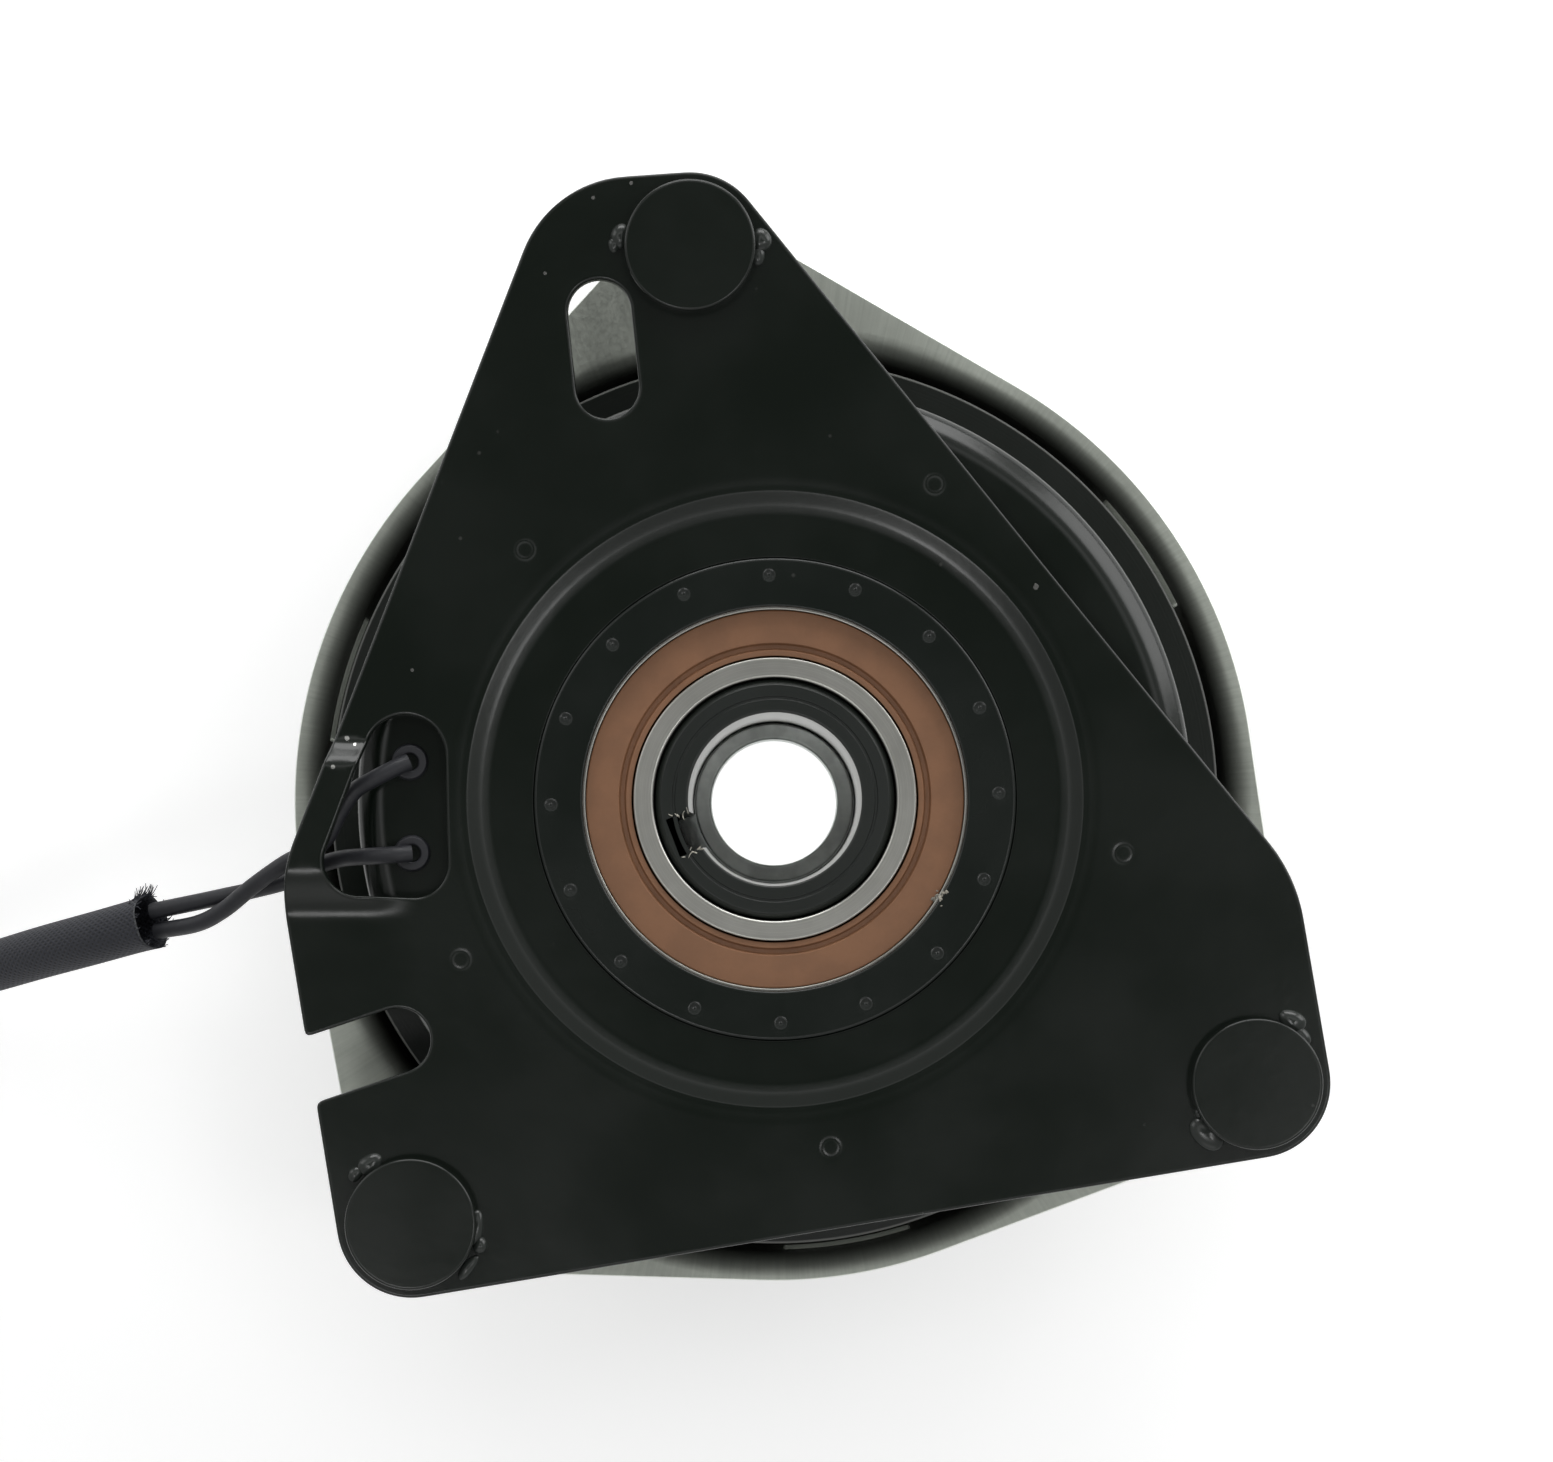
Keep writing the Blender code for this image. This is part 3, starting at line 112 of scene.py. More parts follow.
# %% [markdown]
# Most surfaces here are a grid of points: rows of a profile carried along columns of a path. One
# helper numbers the grid's faces, one turns them outwards by the sign of the volume that they
# enclose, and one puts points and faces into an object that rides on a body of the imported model.


# %% Grids and pieces
def grid_faces(rows, columns, close_rows=True, close_columns=True, first=0):
    """Quads of a grid of points: each joins a row to the next one and a column to the next one."""
    i, j = np.meshgrid(
        np.arange(rows if close_rows else rows - 1),
        np.arange(columns if close_columns else columns - 1),
        indexing="ij",
    )
    up, across = (i + 1) % rows, (j + 1) % columns
    corners = [i * columns + j, i * columns + across, up * columns + across, up * columns + j]
    return first + np.stack(corners, -1).reshape(-1, 4)


def facing_out(points, blocks):
    """The blocks of faces, turned over where the solid's signed volume is below zero."""
    volume = 0.0
    for faces in blocks:
        for k in range(1, faces.shape[1] - 1):
            a, b, c = points[faces[:, 0]], points[faces[:, k]], points[faces[:, k + 1]]
            volume += np.einsum("ij,ij->i", a, np.cross(b, c)).sum()
    return blocks if volume > 0 else [faces[:, ::-1] for faces in blocks]


def mesh_of(name, points, blocks, values=None, uv=None, uv_turn=None):
    """A mesh of points and blocks of faces, with named values at its points.

    Where uv_turn gives the first UV value's whole turn, faces that close the turn end on it, not on 0.
    """
    mesh = bpy.data.meshes.new(name)
    mesh.from_pydata(points.tolist(), [], [face for block in blocks for face in block.tolist()])
    for label, numbers in (values or {}).items():
        layer = mesh.attributes.new(label, "FLOAT", "POINT")
        layer.data.foreach_set("value", np.ascontiguousarray(numbers, np.float32))
    if uv is not None:
        corner = np.zeros(len(mesh.loops), np.int32)
        mesh.loops.foreach_get("vertex_index", corner)
        layer = mesh.uv_layers.new(name="UVMap")
        uv = uv[corner]
        if uv_turn is not None:
            sides = np.array([len(face) for block in blocks for face in block])
            starts = np.concatenate([[0], np.cumsum(sides)[:-1]])
            highest = np.repeat(np.maximum.reduceat(uv[:, 0], starts), sides)
            closing = (highest - uv[:, 0] > uv_turn / 2) & (np.repeat(sides, sides) == 4)
            uv[:, 0] += np.where(closing, uv_turn, 0)
        layer.data.foreach_set("uv", np.ascontiguousarray(uv, np.float32).ravel())
    mesh.shade_smooth()
    return mesh


def joined(parts):
    """Several meshes as one: each block of faces counts on from the points before it."""
    points, blocks, first = [], [], 0
    for part_points, part_blocks in parts:
        points.append(part_points)
        blocks += [block + first for block in facing_out(part_points, part_blocks)]
        first += len(part_points)
    return np.concatenate(points), blocks


made = []


def piece(name, points, blocks, look, body, nodes=(), values=None, uv=None, uv_turn=None, sharp=None):
    """A finished piece: it takes its material, rides on its body and stands for its CAD nodes."""
    points = np.asarray(points, float).reshape(-1, 3)
    mesh = mesh_of(name, points, facing_out(points, blocks), values, uv, uv_turn)
    mesh.materials.append(look)
    if sharp is not None:
        mesh.set_sharp_from_angle(angle=np.radians(sharp))
    obj = bpy.data.objects.new(name, mesh)
    bpy.context.scene.collection.objects.link(obj)
    if body is not None:
        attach(obj, body)
    if nodes:
        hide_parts(*nodes)
    made.append((name, len(mesh.polygons)))
    return obj


# %% [markdown]
# No real edge is perfectly sharp. Each profile is given as its corners, with a radius for each
# corner, and every corner becomes a short arc between two tangent points. A further point just
# beyond each end of the arc keeps the flat parts' shading flat.


# %% Rounded profiles and turned pieces
def rounded(corners, steps=4, closed=True, support=0.12 * MM):
    """Corners (x, y, radius) as a line with arcs, found by turning from one tangent point to the other."""
    corners = np.asarray(corners, float)
    p, radius = corners[:, :2], np.maximum(corners[:, 2:3], 0.03 * MM)
    back, ahead = np.roll(p, 1, 0) - p, np.roll(p, -1, 0) - p
    back /= np.linalg.norm(back, axis=1, keepdims=True)
    ahead /= np.linalg.norm(ahead, axis=1, keepdims=True)
    half = np.arccos(np.clip((back * ahead).sum(1, keepdims=True), -1, 1)) / 2
    half = np.minimum(half, np.pi / 2 - 1e-4)
    reach = radius / np.tan(half)
    inward = back + ahead
    centre = p + inward / np.linalg.norm(inward, axis=1, keepdims=True) * radius / np.sin(half)
    start, end = p + back * reach, p + ahead * reach
    swing = (np.pi - 2 * half)[:, None]
    share = np.linspace(0, 1, steps + 1)[None, :, None]
    a, b = (start - centre)[:, None], (end - centre)[:, None]
    bow = (np.sin((1 - share) * swing) * a + np.sin(share * swing) * b) / np.sin(swing)
    line = np.concatenate(
        [(start + back * support)[:, None], centre[:, None] + bow, (end + ahead * support)[:, None]], axis=1
    )
    if not closed:
        line = line[1:-1]
        return np.concatenate([p[:1], line.reshape(-1, 2), p[-1:]])
    return line.reshape(-1, 2)


def corners_mm(rows):
    """Corners with their radius and rounding in millimetres and their height in metres."""
    return [(radius * MM, height, rounding * MM) for radius, height, rounding in rows]


def with_rows(profile, level, places):
    """The profile with more points on its longest flat run at a height."""
    row = np.flatnonzero(np.abs(profile[:, 1] - level) < 1e-7)
    at = row[np.argmax(np.abs(np.diff(profile[row, 0])))] + 1
    return np.insert(profile, at, np.stack([places, np.full(len(places), level)], -1), axis=0)


def spun(profile, angles=192, about=(0.0, 0.0)):
    """Points of a profile (radius, height) carried round an upright axis: x = r cos, y = r sin."""
    turn = np.linspace(0, 2 * np.pi, angles, endpoint=False) if np.isscalar(angles) else np.asarray(angles)
    r, z = profile[:, 0][:, None], profile[:, 1][:, None]
    grid = np.stack([about[0] + r * np.cos(turn), about[1] + r * np.sin(turn), z + 0 * turn], -1)
    return grid + SHAFT


def turned_piece(name, corners, look, body, nodes=(), angles=192, about=(0.0, 0.0), values=None):
    """A closed profile spun once round an upright axis, its corners rounded."""
    grid = spun(rounded(corners), angles, about)
    found = None if values is None else {label: rule(grid).ravel() for label, rule in values.items()}
    faces = grid_faces(*grid.shape[:2])
    return piece(name, grid, [faces], look, body, nodes, values=found)


# %% [markdown]
# Stamped sheets have an outline and cut-outs of any shape. The flat part is a Delaunay mesh
# between loops that lie a little inside each edge. The edge itself is a grid: the loop carried
# through a small section that rolls over, goes down the wall and comes back below. The same
# section can be long, and then it forms a drum's wall or a rotor's rim in one surface with the sheet.


# %% Loops of points in the plane
def hull_of_circles(circles, steps=1440):
    """The band pulled tight round circles (x, y, radius): the farthest point in each direction."""
    circles = np.asarray(circles, float)
    turn = np.linspace(0, 2 * np.pi, steps, endpoint=False)
    way = np.stack([np.cos(turn), np.sin(turn)], -1)
    chosen = circles[np.argmax(way @ circles[:, :2].T + circles[:, 2], axis=1)]
    return chosen[:, :2] + chosen[:, 2:] * way


def ring(radius, about=(0.0, 0.0), count=192, start=0.0):
    turn = start + np.linspace(0, 2 * np.pi, count, endpoint=False)
    return np.stack([about[0] + radius * np.cos(turn), about[1] + radius * np.sin(turn)], -1)


def polar(radius, degrees):
    turn = np.radians(degrees)
    return np.array([radius * np.cos(turn), radius * np.sin(turn)])


def swung(x, y, turn):
    """x and y turned about the origin."""
    return x * np.cos(turn) - y * np.sin(turn), x * np.sin(turn) + y * np.cos(turn)


def resampled(loop, spacing):
    """The closed loop as evenly spaced points, read off its length."""
    closed = np.concatenate([loop, loop[:1]])
    along = np.concatenate([[0], np.cumsum(np.linalg.norm(np.diff(closed, axis=0), axis=1))])
    at = np.linspace(0, along[-1], max(12, round(along[-1] / spacing)), endpoint=False)
    return np.stack([np.interp(at, along, closed[:, k]) for k in (0, 1)], -1)


def eased(loop, times):
    """Each point moved to the mean of itself and its neighbours, which rounds corners."""
    for _ in range(times):
        loop = (np.roll(loop, 1, 0) + 2 * loop + np.roll(loop, -1, 0)) / 4
    return loop


def area_of(loop):
    x, y = loop.T
    return 0.5 * (x * np.roll(y, -1) - y * np.roll(x, -1)).sum()


def inside(points, loop):
    """Whether each point lies in the loop: a ray to its right crosses the loop an odd number of times."""
    x, y = points[:, 0][:, None], points[:, 1][:, None]
    a, b = loop[None, :], np.roll(loop, -1, 0)[None, :]
    spans = (a[..., 1] > y) != (b[..., 1] > y)
    rise = np.where(b[..., 1] == a[..., 1], 1e-12, b[..., 1] - a[..., 1])
    left_of = x < a[..., 0] + (b[..., 0] - a[..., 0]) * (y - a[..., 1]) / rise
    return (spans & left_of).sum(1) % 2 == 1


def notched(outline, notch):
    """The outline with an open notch: its points inside the notch give way to the notch's own."""
    gone = inside(outline, notch)
    outline = np.roll(outline, -(np.flatnonzero(gone & ~np.roll(gone, -1))[0] + 1), 0)
    kept = outline[~inside(outline, notch)]
    held = inside(notch, outline)
    notch = np.roll(notch, -(np.flatnonzero(~held & np.roll(held, -1))[0] + 1), 0)
    return np.concatenate([kept, notch[inside(notch, outline)][::-1]])


# %% Stamped sheets
def stamped_edge(thickness, top_r, bottom_r=None, support=0.3 * MM):
    """A sheet's edge as (inset, drop): it rolls over at the top, drops and breaks sharply below."""
    bottom_r = top_r if bottom_r is None else bottom_r
    roll = np.linspace(0, np.pi / 2, 5)
    top = np.stack([top_r * (1 - np.sin(roll)), -top_r * (1 - np.cos(roll))], -1)
    low = np.stack([bottom_r * (1 - np.cos(roll)), -thickness + bottom_r * (1 - np.sin(roll))], -1)
    return np.concatenate([[[top_r + support, 0.0]], top, low, [[bottom_r + support, -thickness]]])


def left_normals(loop):
    """At each point, the unit vector to the left of the loop's direction."""
    along = np.roll(loop, -1, 0) - np.roll(loop, 1, 0)
    along /= np.linalg.norm(along, axis=1, keepdims=True)
    return np.stack([-along[:, 1], along[:, 0]], -1)


def sheet_mesh(outline, cuts, top, thickness, height=None, free=None):
    """Points, faces and edge marks of a sheet. outline and cuts are (loop, edge section)."""
    height = height or (lambda xy: 0 * xy[:, 0])
    loops = []
    for k, (loop, section) in enumerate([outline] + cuts):
        wanted = 1 if k == 0 else -1
        loop = loop if area_of(loop) * wanted > 0 else loop[::-1]
        normal = left_normals(loop)
        rows = loop[None] + section[:, 0][:, None, None] * normal[None]
        loops.append((rows, section[:, 1]))
    borders = [rows[0] for rows, _ in loops]
    if free is None:
        free = np.zeros((0, 2))
    if len(free):
        keep = inside(free, borders[0])
        for border in borders[1:]:
            keep &= ~inside(free, border)
        near = np.concatenate(borders)
        free = free[keep]
        clear = np.ones(len(free), bool)
        for chunk in np.array_split(np.arange(len(free)), max(1, len(free) // 500)):
            gap = np.linalg.norm(free[chunk][:, None] - near[None], axis=2).min(1)
            clear[chunk] = gap > 0.35 * MM
        free = free[clear]
    flat = (np.concatenate(borders + [free]) / MM).astype(np.float32).astype(float)
    ends = np.cumsum([len(border) for border in borders])
    borders = np.split(flat[:ends[-1]], ends[:-1])
    edges, first = [], 0
    for border in borders:
        index = np.arange(len(border))
        edges += np.stack([first + index, first + (index + 1) % len(border)], -1).tolist()
        first += len(border)
    found, _, triangles, *_ = delaunay_2d_cdt(flat.tolist(), edges, [], 0, 1e-9)
    assert len(found) == len(flat), "the sheet's loops cross"
    triangles = np.array(triangles)
    middle = flat[triangles].mean(1)
    doubtful = (triangles < first).all(1)
    keep = np.ones(len(triangles), bool)
    keep[doubtful] = inside(middle[doubtful], borders[0])
    for border in borders[1:]:
        keep[doubtful] &= ~inside(middle[doubtful], border)
    triangles = triangles[keep]
    free_z = top + height(free)
    points = [np.column_stack([free, free_z]), np.column_stack([free, free_z - thickness])]
    blocks, marks = [], [np.zeros(2 * len(free))]
    start = 2 * len(free)
    top_index, low_index = [], []
    for rows, drops in loops:
        lift = np.stack([height(row) for row in rows])
        grid = np.concatenate([rows, (top + lift + drops[:, None])[..., None]], -1)
        count = rows.shape[1]
        points.append(grid.reshape(-1, 3))
        blocks.append(grid_faces(len(rows), count, close_rows=False, first=start)[:, ::-1])
        bend = np.ones(len(rows))
        bend[[0, 1, -2, -1]] = 0
        marks.append(np.repeat(bend, count))
        top_index.append(start + np.arange(count))
        low_index.append(start + (len(rows) - 1) * count + np.arange(count))
        start += len(rows) * count
    top_index = np.concatenate(top_index + [np.arange(len(free))])
    low_index = np.concatenate(low_index + [len(free) + np.arange(len(free))])
    a, b, c = (flat[triangles[:, k]] for k in range(3))
    area = np.cross(b - a, c - a)
    triangles[area < 0] = triangles[area < 0][:, ::-1]
    blocks += [top_index[triangles], low_index[triangles][:, ::-1]]
    return np.concatenate(points) + SHAFT, blocks, np.concatenate(marks)


def sheet_piece(
    name, outline, cuts, top, thickness, look, body, nodes=(), height=None, free=None, sharp=None
):
    points, blocks, marks = sheet_mesh(outline, cuts, top, thickness, height, free)
    return piece(name, points, blocks, look, body, nodes, values={"edge": marks}, sharp=sharp)


# %% [markdown]
# A lead is a tube: a ring of points carried along a path. The path is a smooth curve through a
# few points, and the ring turns with the path without twisting.


# %% Paths and tubes
def smooth_path(route, spacing):
    """Points of a Catmull-Rom curve through the route's points, close together."""
    ends = np.asarray(route, float)
    ends = np.concatenate([[2 * ends[0] - ends[1]], ends, [2 * ends[-1] - ends[-2]]])
    path = []
    for a, b, c, d in zip(ends, ends[1:], ends[2:], ends[3:]):
        t = np.linspace(0, 1, max(2, round(np.linalg.norm(c - b) / spacing)), endpoint=False)[:, None]
        bend = (2 * a - 5 * b + 4 * c - d) * t**2 + (3 * b - a - 3 * c + d) * t**3
        path.append(0.5 * (2 * b + (c - a) * t + bend))
    return np.concatenate(path + [ends[-2:-1]])


def length_of(path):
    return np.linalg.norm(np.diff(path, axis=0), axis=1).sum()


def frames_along(path):
    """Two unit vectors across the path at each point, the first kept close to the one before."""
    along = np.gradient(path, axis=0)
    along /= np.linalg.norm(along, axis=1, keepdims=True)
    side = np.cross(along[0], [0.0, 0.0, 1.0])
    sides = []
    for way in along:
        side = side - way * (side @ way)
        side = side / np.linalg.norm(side)
        sides.append(side)
    sides = np.array(sides)
    return along, sides, np.cross(along, sides)


def tube_mesh(path, section_r, around=24):
    """Rings round the path, with a radius for each point of it, and a flat cap on both ends."""
    along, side, up = frames_along(path)
    turn = np.linspace(0, 2 * np.pi, around, endpoint=False)
    section_r = np.broadcast_to(section_r, (len(path),))
    offset = side[:, None] * np.cos(turn)[None, :, None] + up[:, None] * np.sin(turn)[None, :, None]
    grid = path[:, None] + offset * section_r[:, None, None]
    faces = grid_faces(len(path), around, close_rows=False)
    caps = [np.arange(around)[None, ::-1], (len(path) - 1) * around + np.arange(around)[None]]
    return grid.reshape(-1, 3), [faces] + caps


# %% [markdown]
# Materials share a few effects, each made once as a node group that puts out a value: fine grain,
# turning marks round the shaft, drawing marks down a wall, dust, and wear, which also places
# painted highlights. The shader itself stays in each material, with its own colour, roughness and bump.


# %% Node helpers
def add(tree, kind, inputs=None, **settings):
    """A node with its settings; an input is a number, a colour or another node's output."""
    node = tree.nodes.new(kind)
    for key, value in settings.items():
        setattr(node, key, value)
    for key, value in (inputs or {}).items():
        if isinstance(value, bpy.types.NodeSocket):
            tree.links.new(value, node.inputs[key])
        else:
            node.inputs[key].default_value = value
    return node


def math(tree, operation, *values, clamp=False):
    node = add(tree, "ShaderNodeMath", dict(enumerate(values)), operation=operation, use_clamp=clamp)
    return node.outputs[0]


def vector_math(tree, operation, *values):
    node = add(tree, "ShaderNodeVectorMath", dict(enumerate(values)), operation=operation)
    return node.outputs["Value"] if operation in ("LENGTH", "DISTANCE", "DOT_PRODUCT") else node.outputs[0]


def ramp(tree, value, low, high, out_low=0.0, out_high=1.0):
    """The value between two numbers as a smooth step between two others."""
    return add(
        tree, "ShaderNodeMapRange",
        {"Value": value, "From Min": low, "From Max": high, "To Min": out_low, "To Max": out_high},
        interpolation_type="SMOOTHSTEP",
    ).outputs[0]


def mixed(tree, factor, a, b):
    node = add(tree, "ShaderNodeMix", data_type="RGBA")
    for key, value in ((0, factor), (6, a), (7, b)):
        if isinstance(value, bpy.types.NodeSocket):
            tree.links.new(value, node.inputs[key])
        else:
            node.inputs[key].default_value = value if key == 0 else (*value, 1.0)
    return node.outputs[2]


def effect(name, inputs, build):
    """A node group with a vector and named numbers in, and one value out."""
    tree = bpy.data.node_groups.new(name, "ShaderNodeTree")
    tree.interface.new_socket("Vector", in_out="INPUT", socket_type="NodeSocketVector")
    for label, value in inputs.items():
        tree.interface.new_socket(label, in_out="INPUT", socket_type="NodeSocketFloat").default_value = value
    tree.interface.new_socket("Value", in_out="OUTPUT", socket_type="NodeSocketFloat")
    given, result = tree.nodes.new("NodeGroupInput"), tree.nodes.new("NodeGroupOutput")
    tree.links.new(build(tree, given.outputs), result.inputs["Value"])
    return tree


def use(tree, group, vector, **values):
    inputs = {"Vector": vector, **{label.replace("_", " "): value for label, value in values.items()}}
    return add(tree, "ShaderNodeGroup", inputs, node_tree=group).outputs["Value"]


# %% Shared effects
def build_grain(tree, given):
    noise = add(
        tree, "ShaderNodeTexNoise",
        {"Vector": given["Vector"], "Scale": given["Scale"], "Detail": 3.0, "Roughness": 0.55},
    )
    return noise.outputs["Fac"]


def build_turning(tree, given):
    flat = vector_math(tree, "MULTIPLY", given["Vector"], (1.0, 1.0, 0.0))
    radius = vector_math(tree, "LENGTH", flat)
    inputs = {"W": radius, "Scale": given["Scale"], "Detail": 2.0}
    return add(tree, "ShaderNodeTexNoise", inputs, noise_dimensions="1D").outputs["Fac"]


def build_drawing(tree, given):
    parts = add(tree, "ShaderNodeSeparateXYZ", {0: given["Vector"]}).outputs
    angle = math(tree, "ARCTAN2", parts[1], parts[0])
    radius = vector_math(tree, "LENGTH", vector_math(tree, "MULTIPLY", given["Vector"], (1.0, 1.0, 0.0)))
    spot = add(
        tree, "ShaderNodeCombineXYZ",
        {0: math(tree, "MULTIPLY", angle, given["Lines"]),
         1: math(tree, "MULTIPLY", parts[2], given["Stretch"]),
         2: math(tree, "MULTIPLY", radius, given["Stretch"])},
    ).outputs[0]
    return add(tree, "ShaderNodeTexNoise", {"Vector": spot, "Scale": 1.0, "Detail": 4.0}).outputs["Fac"]


def build_specks(tree, given):
    cells = add(tree, "ShaderNodeTexVoronoi", {"Vector": given["Vector"], "Scale": given["Scale"]})
    lot = add(tree, "ShaderNodeSeparateColor", {0: cells.outputs["Color"]}).outputs[0]
    chosen = math(tree, "GREATER_THAN", lot, given["Rarity"])
    return math(tree, "MULTIPLY", ramp(tree, cells.outputs["Distance"], given["Size"], 0.0), chosen)


def build_wear_and_highlight(tree, given):
    patchy = add(
        tree, "ShaderNodeTexNoise",
        {"Vector": given["Vector"], "Scale": given["Scale"], "Detail": 5.0, "Roughness": 0.7},
    )
    in_patches = ramp(tree, patchy.outputs["Fac"], given["From"], given["To"])
    wear_and_highlight = math(tree, "MULTIPLY", given["Edge"], in_patches)
    return math(tree, "MULTIPLY", wear_and_highlight, 1.0, clamp=True)


def build_spot(tree, given):
    inputs = {"Vector": given["Vector"], "Scale": 900.0, "Detail": 2.0}
    shake = add(tree, "ShaderNodeTexNoise", inputs).outputs["Fac"]
    place = add(tree, "ShaderNodeCombineXYZ", {0: given["X"], 1: given["Y"], 2: 0.0}).outputs[0]
    flat = vector_math(tree, "MULTIPLY", given["Vector"], (1.0, 1.0, 0.0))
    away = vector_math(tree, "DISTANCE", flat, place)
    reach = math(tree, "MULTIPLY", given["Size"], math(tree, "MULTIPLY", shake, 2.0))
    return math(tree, "LESS_THAN", away, reach)


def build_braid(tree, given):
    """Two families of strands, one rising and one falling round the tube."""
    parts = add(tree, "ShaderNodeSeparateXYZ", {0: given["Vector"]}).outputs
    along = math(tree, "MULTIPLY", parts[1], given["Pitch"])
    rising = math(tree, "SINE", math(tree, "MULTIPLY", math(tree, "ADD", parts[0], along), 6.28318))
    falling = math(tree, "SINE", math(tree, "MULTIPLY", math(tree, "SUBTRACT", parts[0], along), 6.28318))
    return math(tree, "MAXIMUM", math(tree, "ABSOLUTE", rising), math(tree, "ABSOLUTE", falling))


GRAIN = effect("grain", {"Scale": 600.0}, build_grain)
TURNING = effect("turning_marks", {"Scale": 4000.0}, build_turning)
DRAWING = effect("drawing_marks", {"Lines": 120.0, "Stretch": 12.0}, build_drawing)
SPECKS = effect("dust_specks", {"Scale": 300.0, "Rarity": 0.9, "Size": 0.2}, build_specks)
WEAR_AND_HIGHLIGHT = effect("edge_wear_and_highlight", {"Edge": 0.0, "Scale": 500.0, "From": 0.5, "To": 0.7}, build_wear_and_highlight)
SPOT = effect("chip", {"X": 0.0, "Y": 0.0, "Size": 0.0005}, build_spot)
BRAID = effect("braid", {"Pitch": 250.0}, build_braid)
print("effects", len(bpy.data.node_groups))

# %% [markdown]
# The plate, shell, hub and pulley are sprayed black. The coat is nearly black and fairly glossy,
# with a faint orange peel, a little dust, and bare steel where a stamped edge has been knocked.
# The same steel colour makes a painted highlight on the shell's corner and the rotor rim's inner edge.


# %% Finishes
def new_look(name, slot, color, roughness, metallic=0.0):
    look = bpy.data.materials.new(name)
    look.use_nodes = True
    look["slot"] = slot
    shader = look.node_tree.nodes["Principled BSDF"]
    shader.inputs["Base Color"].default_value = (*color, 1.0)
    shader.inputs["Roughness"].default_value = roughness
    shader.inputs["Metallic"].default_value = metallic
    look.diffuse_color = (*color, 1.0)
    return look, look.node_tree, shader


def from_shaft(tree):
    """Object coordinates measured from the shaft."""
    coordinates = add(tree, "ShaderNodeTexCoord").outputs["Object"]
    moved = (-SHAFT[0], -SHAFT[1], 0.0)
    return add(tree, "ShaderNodeMapping", {"Vector": coordinates, "Location": moved}).outputs[0]


def bump(tree, shader, height, strength, distance):
    node = add(tree, "ShaderNodeBump", {"Height": height, "Strength": strength, "Distance": distance})
    tree.links.new(node.outputs[0], shader.inputs["Normal"])


PAINT = (0.0036, 0.0064, 0.0040)
BARE_AND_HIGHLIGHT = (0.42, 0.42, 0.40)
DUST = (0.09, 0.09, 0.085)


def black_paint(name, roughness=0.26, mark_spread=(0.66, 0.76), chips=(), turned=0.0, tint=PAINT):
    """Sprayed black: turned to steel at marked edges, knocked bare on some and a painted highlight on
    others, and at each chip (x, y, size).
    """
    look, tree, shader = new_look(name, "black_paint", tint, roughness)
    spot = from_shaft(tree)
    edge = add(tree, "ShaderNodeAttribute", attribute_name="edge", attribute_type="GEOMETRY").outputs["Fac"]
    wear_and_highlight = use(tree, WEAR_AND_HIGHLIGHT, spot, Edge=edge, Scale=420.0, From=mark_spread[0], To=mark_spread[1])
    for x, y, size in chips:
        wear_and_highlight = math(tree, "MAXIMUM", wear_and_highlight, use(tree, SPOT, spot, X=x, Y=y, Size=size))
    dusty = use(tree, SPECKS, spot, Scale=330.0, Rarity=0.975, Size=0.16)
    cloudy = use(tree, GRAIN, spot, Scale=38.0)
    color = mixed(tree, math(tree, "MULTIPLY", dusty, 0.40), tint, DUST)
    # Marked edges turn to steel: knocked bare on the plate and rotor chamfer, a painted highlight on the
    # shell and the rotor rim's inner edge.
    color = mixed(tree, wear_and_highlight, color, BARE_AND_HIGHLIGHT)
    tree.links.new(color, shader.inputs["Base Color"])
    rough = ramp(tree, cloudy, 0.3, 0.7, roughness - 0.02, roughness + 0.03)
    tree.links.new(rough, shader.inputs["Roughness"])
    tree.links.new(math(tree, "MULTIPLY", wear_and_highlight, 0.9), shader.inputs["Metallic"])
    peel = use(tree, GRAIN, spot, Scale=520.0)
    if turned:
        rings = use(tree, TURNING, spot, Scale=3500.0)
        peel = math(tree, "ADD", peel, math(tree, "MULTIPLY", rings, turned))
    bump(tree, shader, math(tree, "SUBTRACT", peel, math(tree, "MULTIPLY", wear_and_highlight, 3.0)), 0.25, 0.00006)
    return look


def turned_steel(name, slot, color, roughness, scale):
    """Ground or turned steel: rings of tool marks round the shaft."""
    look, tree, shader = new_look(name, slot, color, roughness, 1.0)
    spot = from_shaft(tree)
    lines = use(tree, TURNING, spot, Scale=scale)
    stain = use(tree, GRAIN, spot, Scale=90.0)
    shade = tuple(c * 0.82 for c in color)
    tone = ramp(tree, math(tree, "ADD", lines, stain), 0.75, 1.25)
    tree.links.new(mixed(tree, tone, shade, color), shader.inputs["Base Color"])
    dullness = ramp(tree, lines, 0.3, 0.7, roughness - 0.04, roughness + 0.06)
    tree.links.new(dullness, shader.inputs["Roughness"])
    bump(tree, shader, lines, 0.15, 0.00001)
    return look


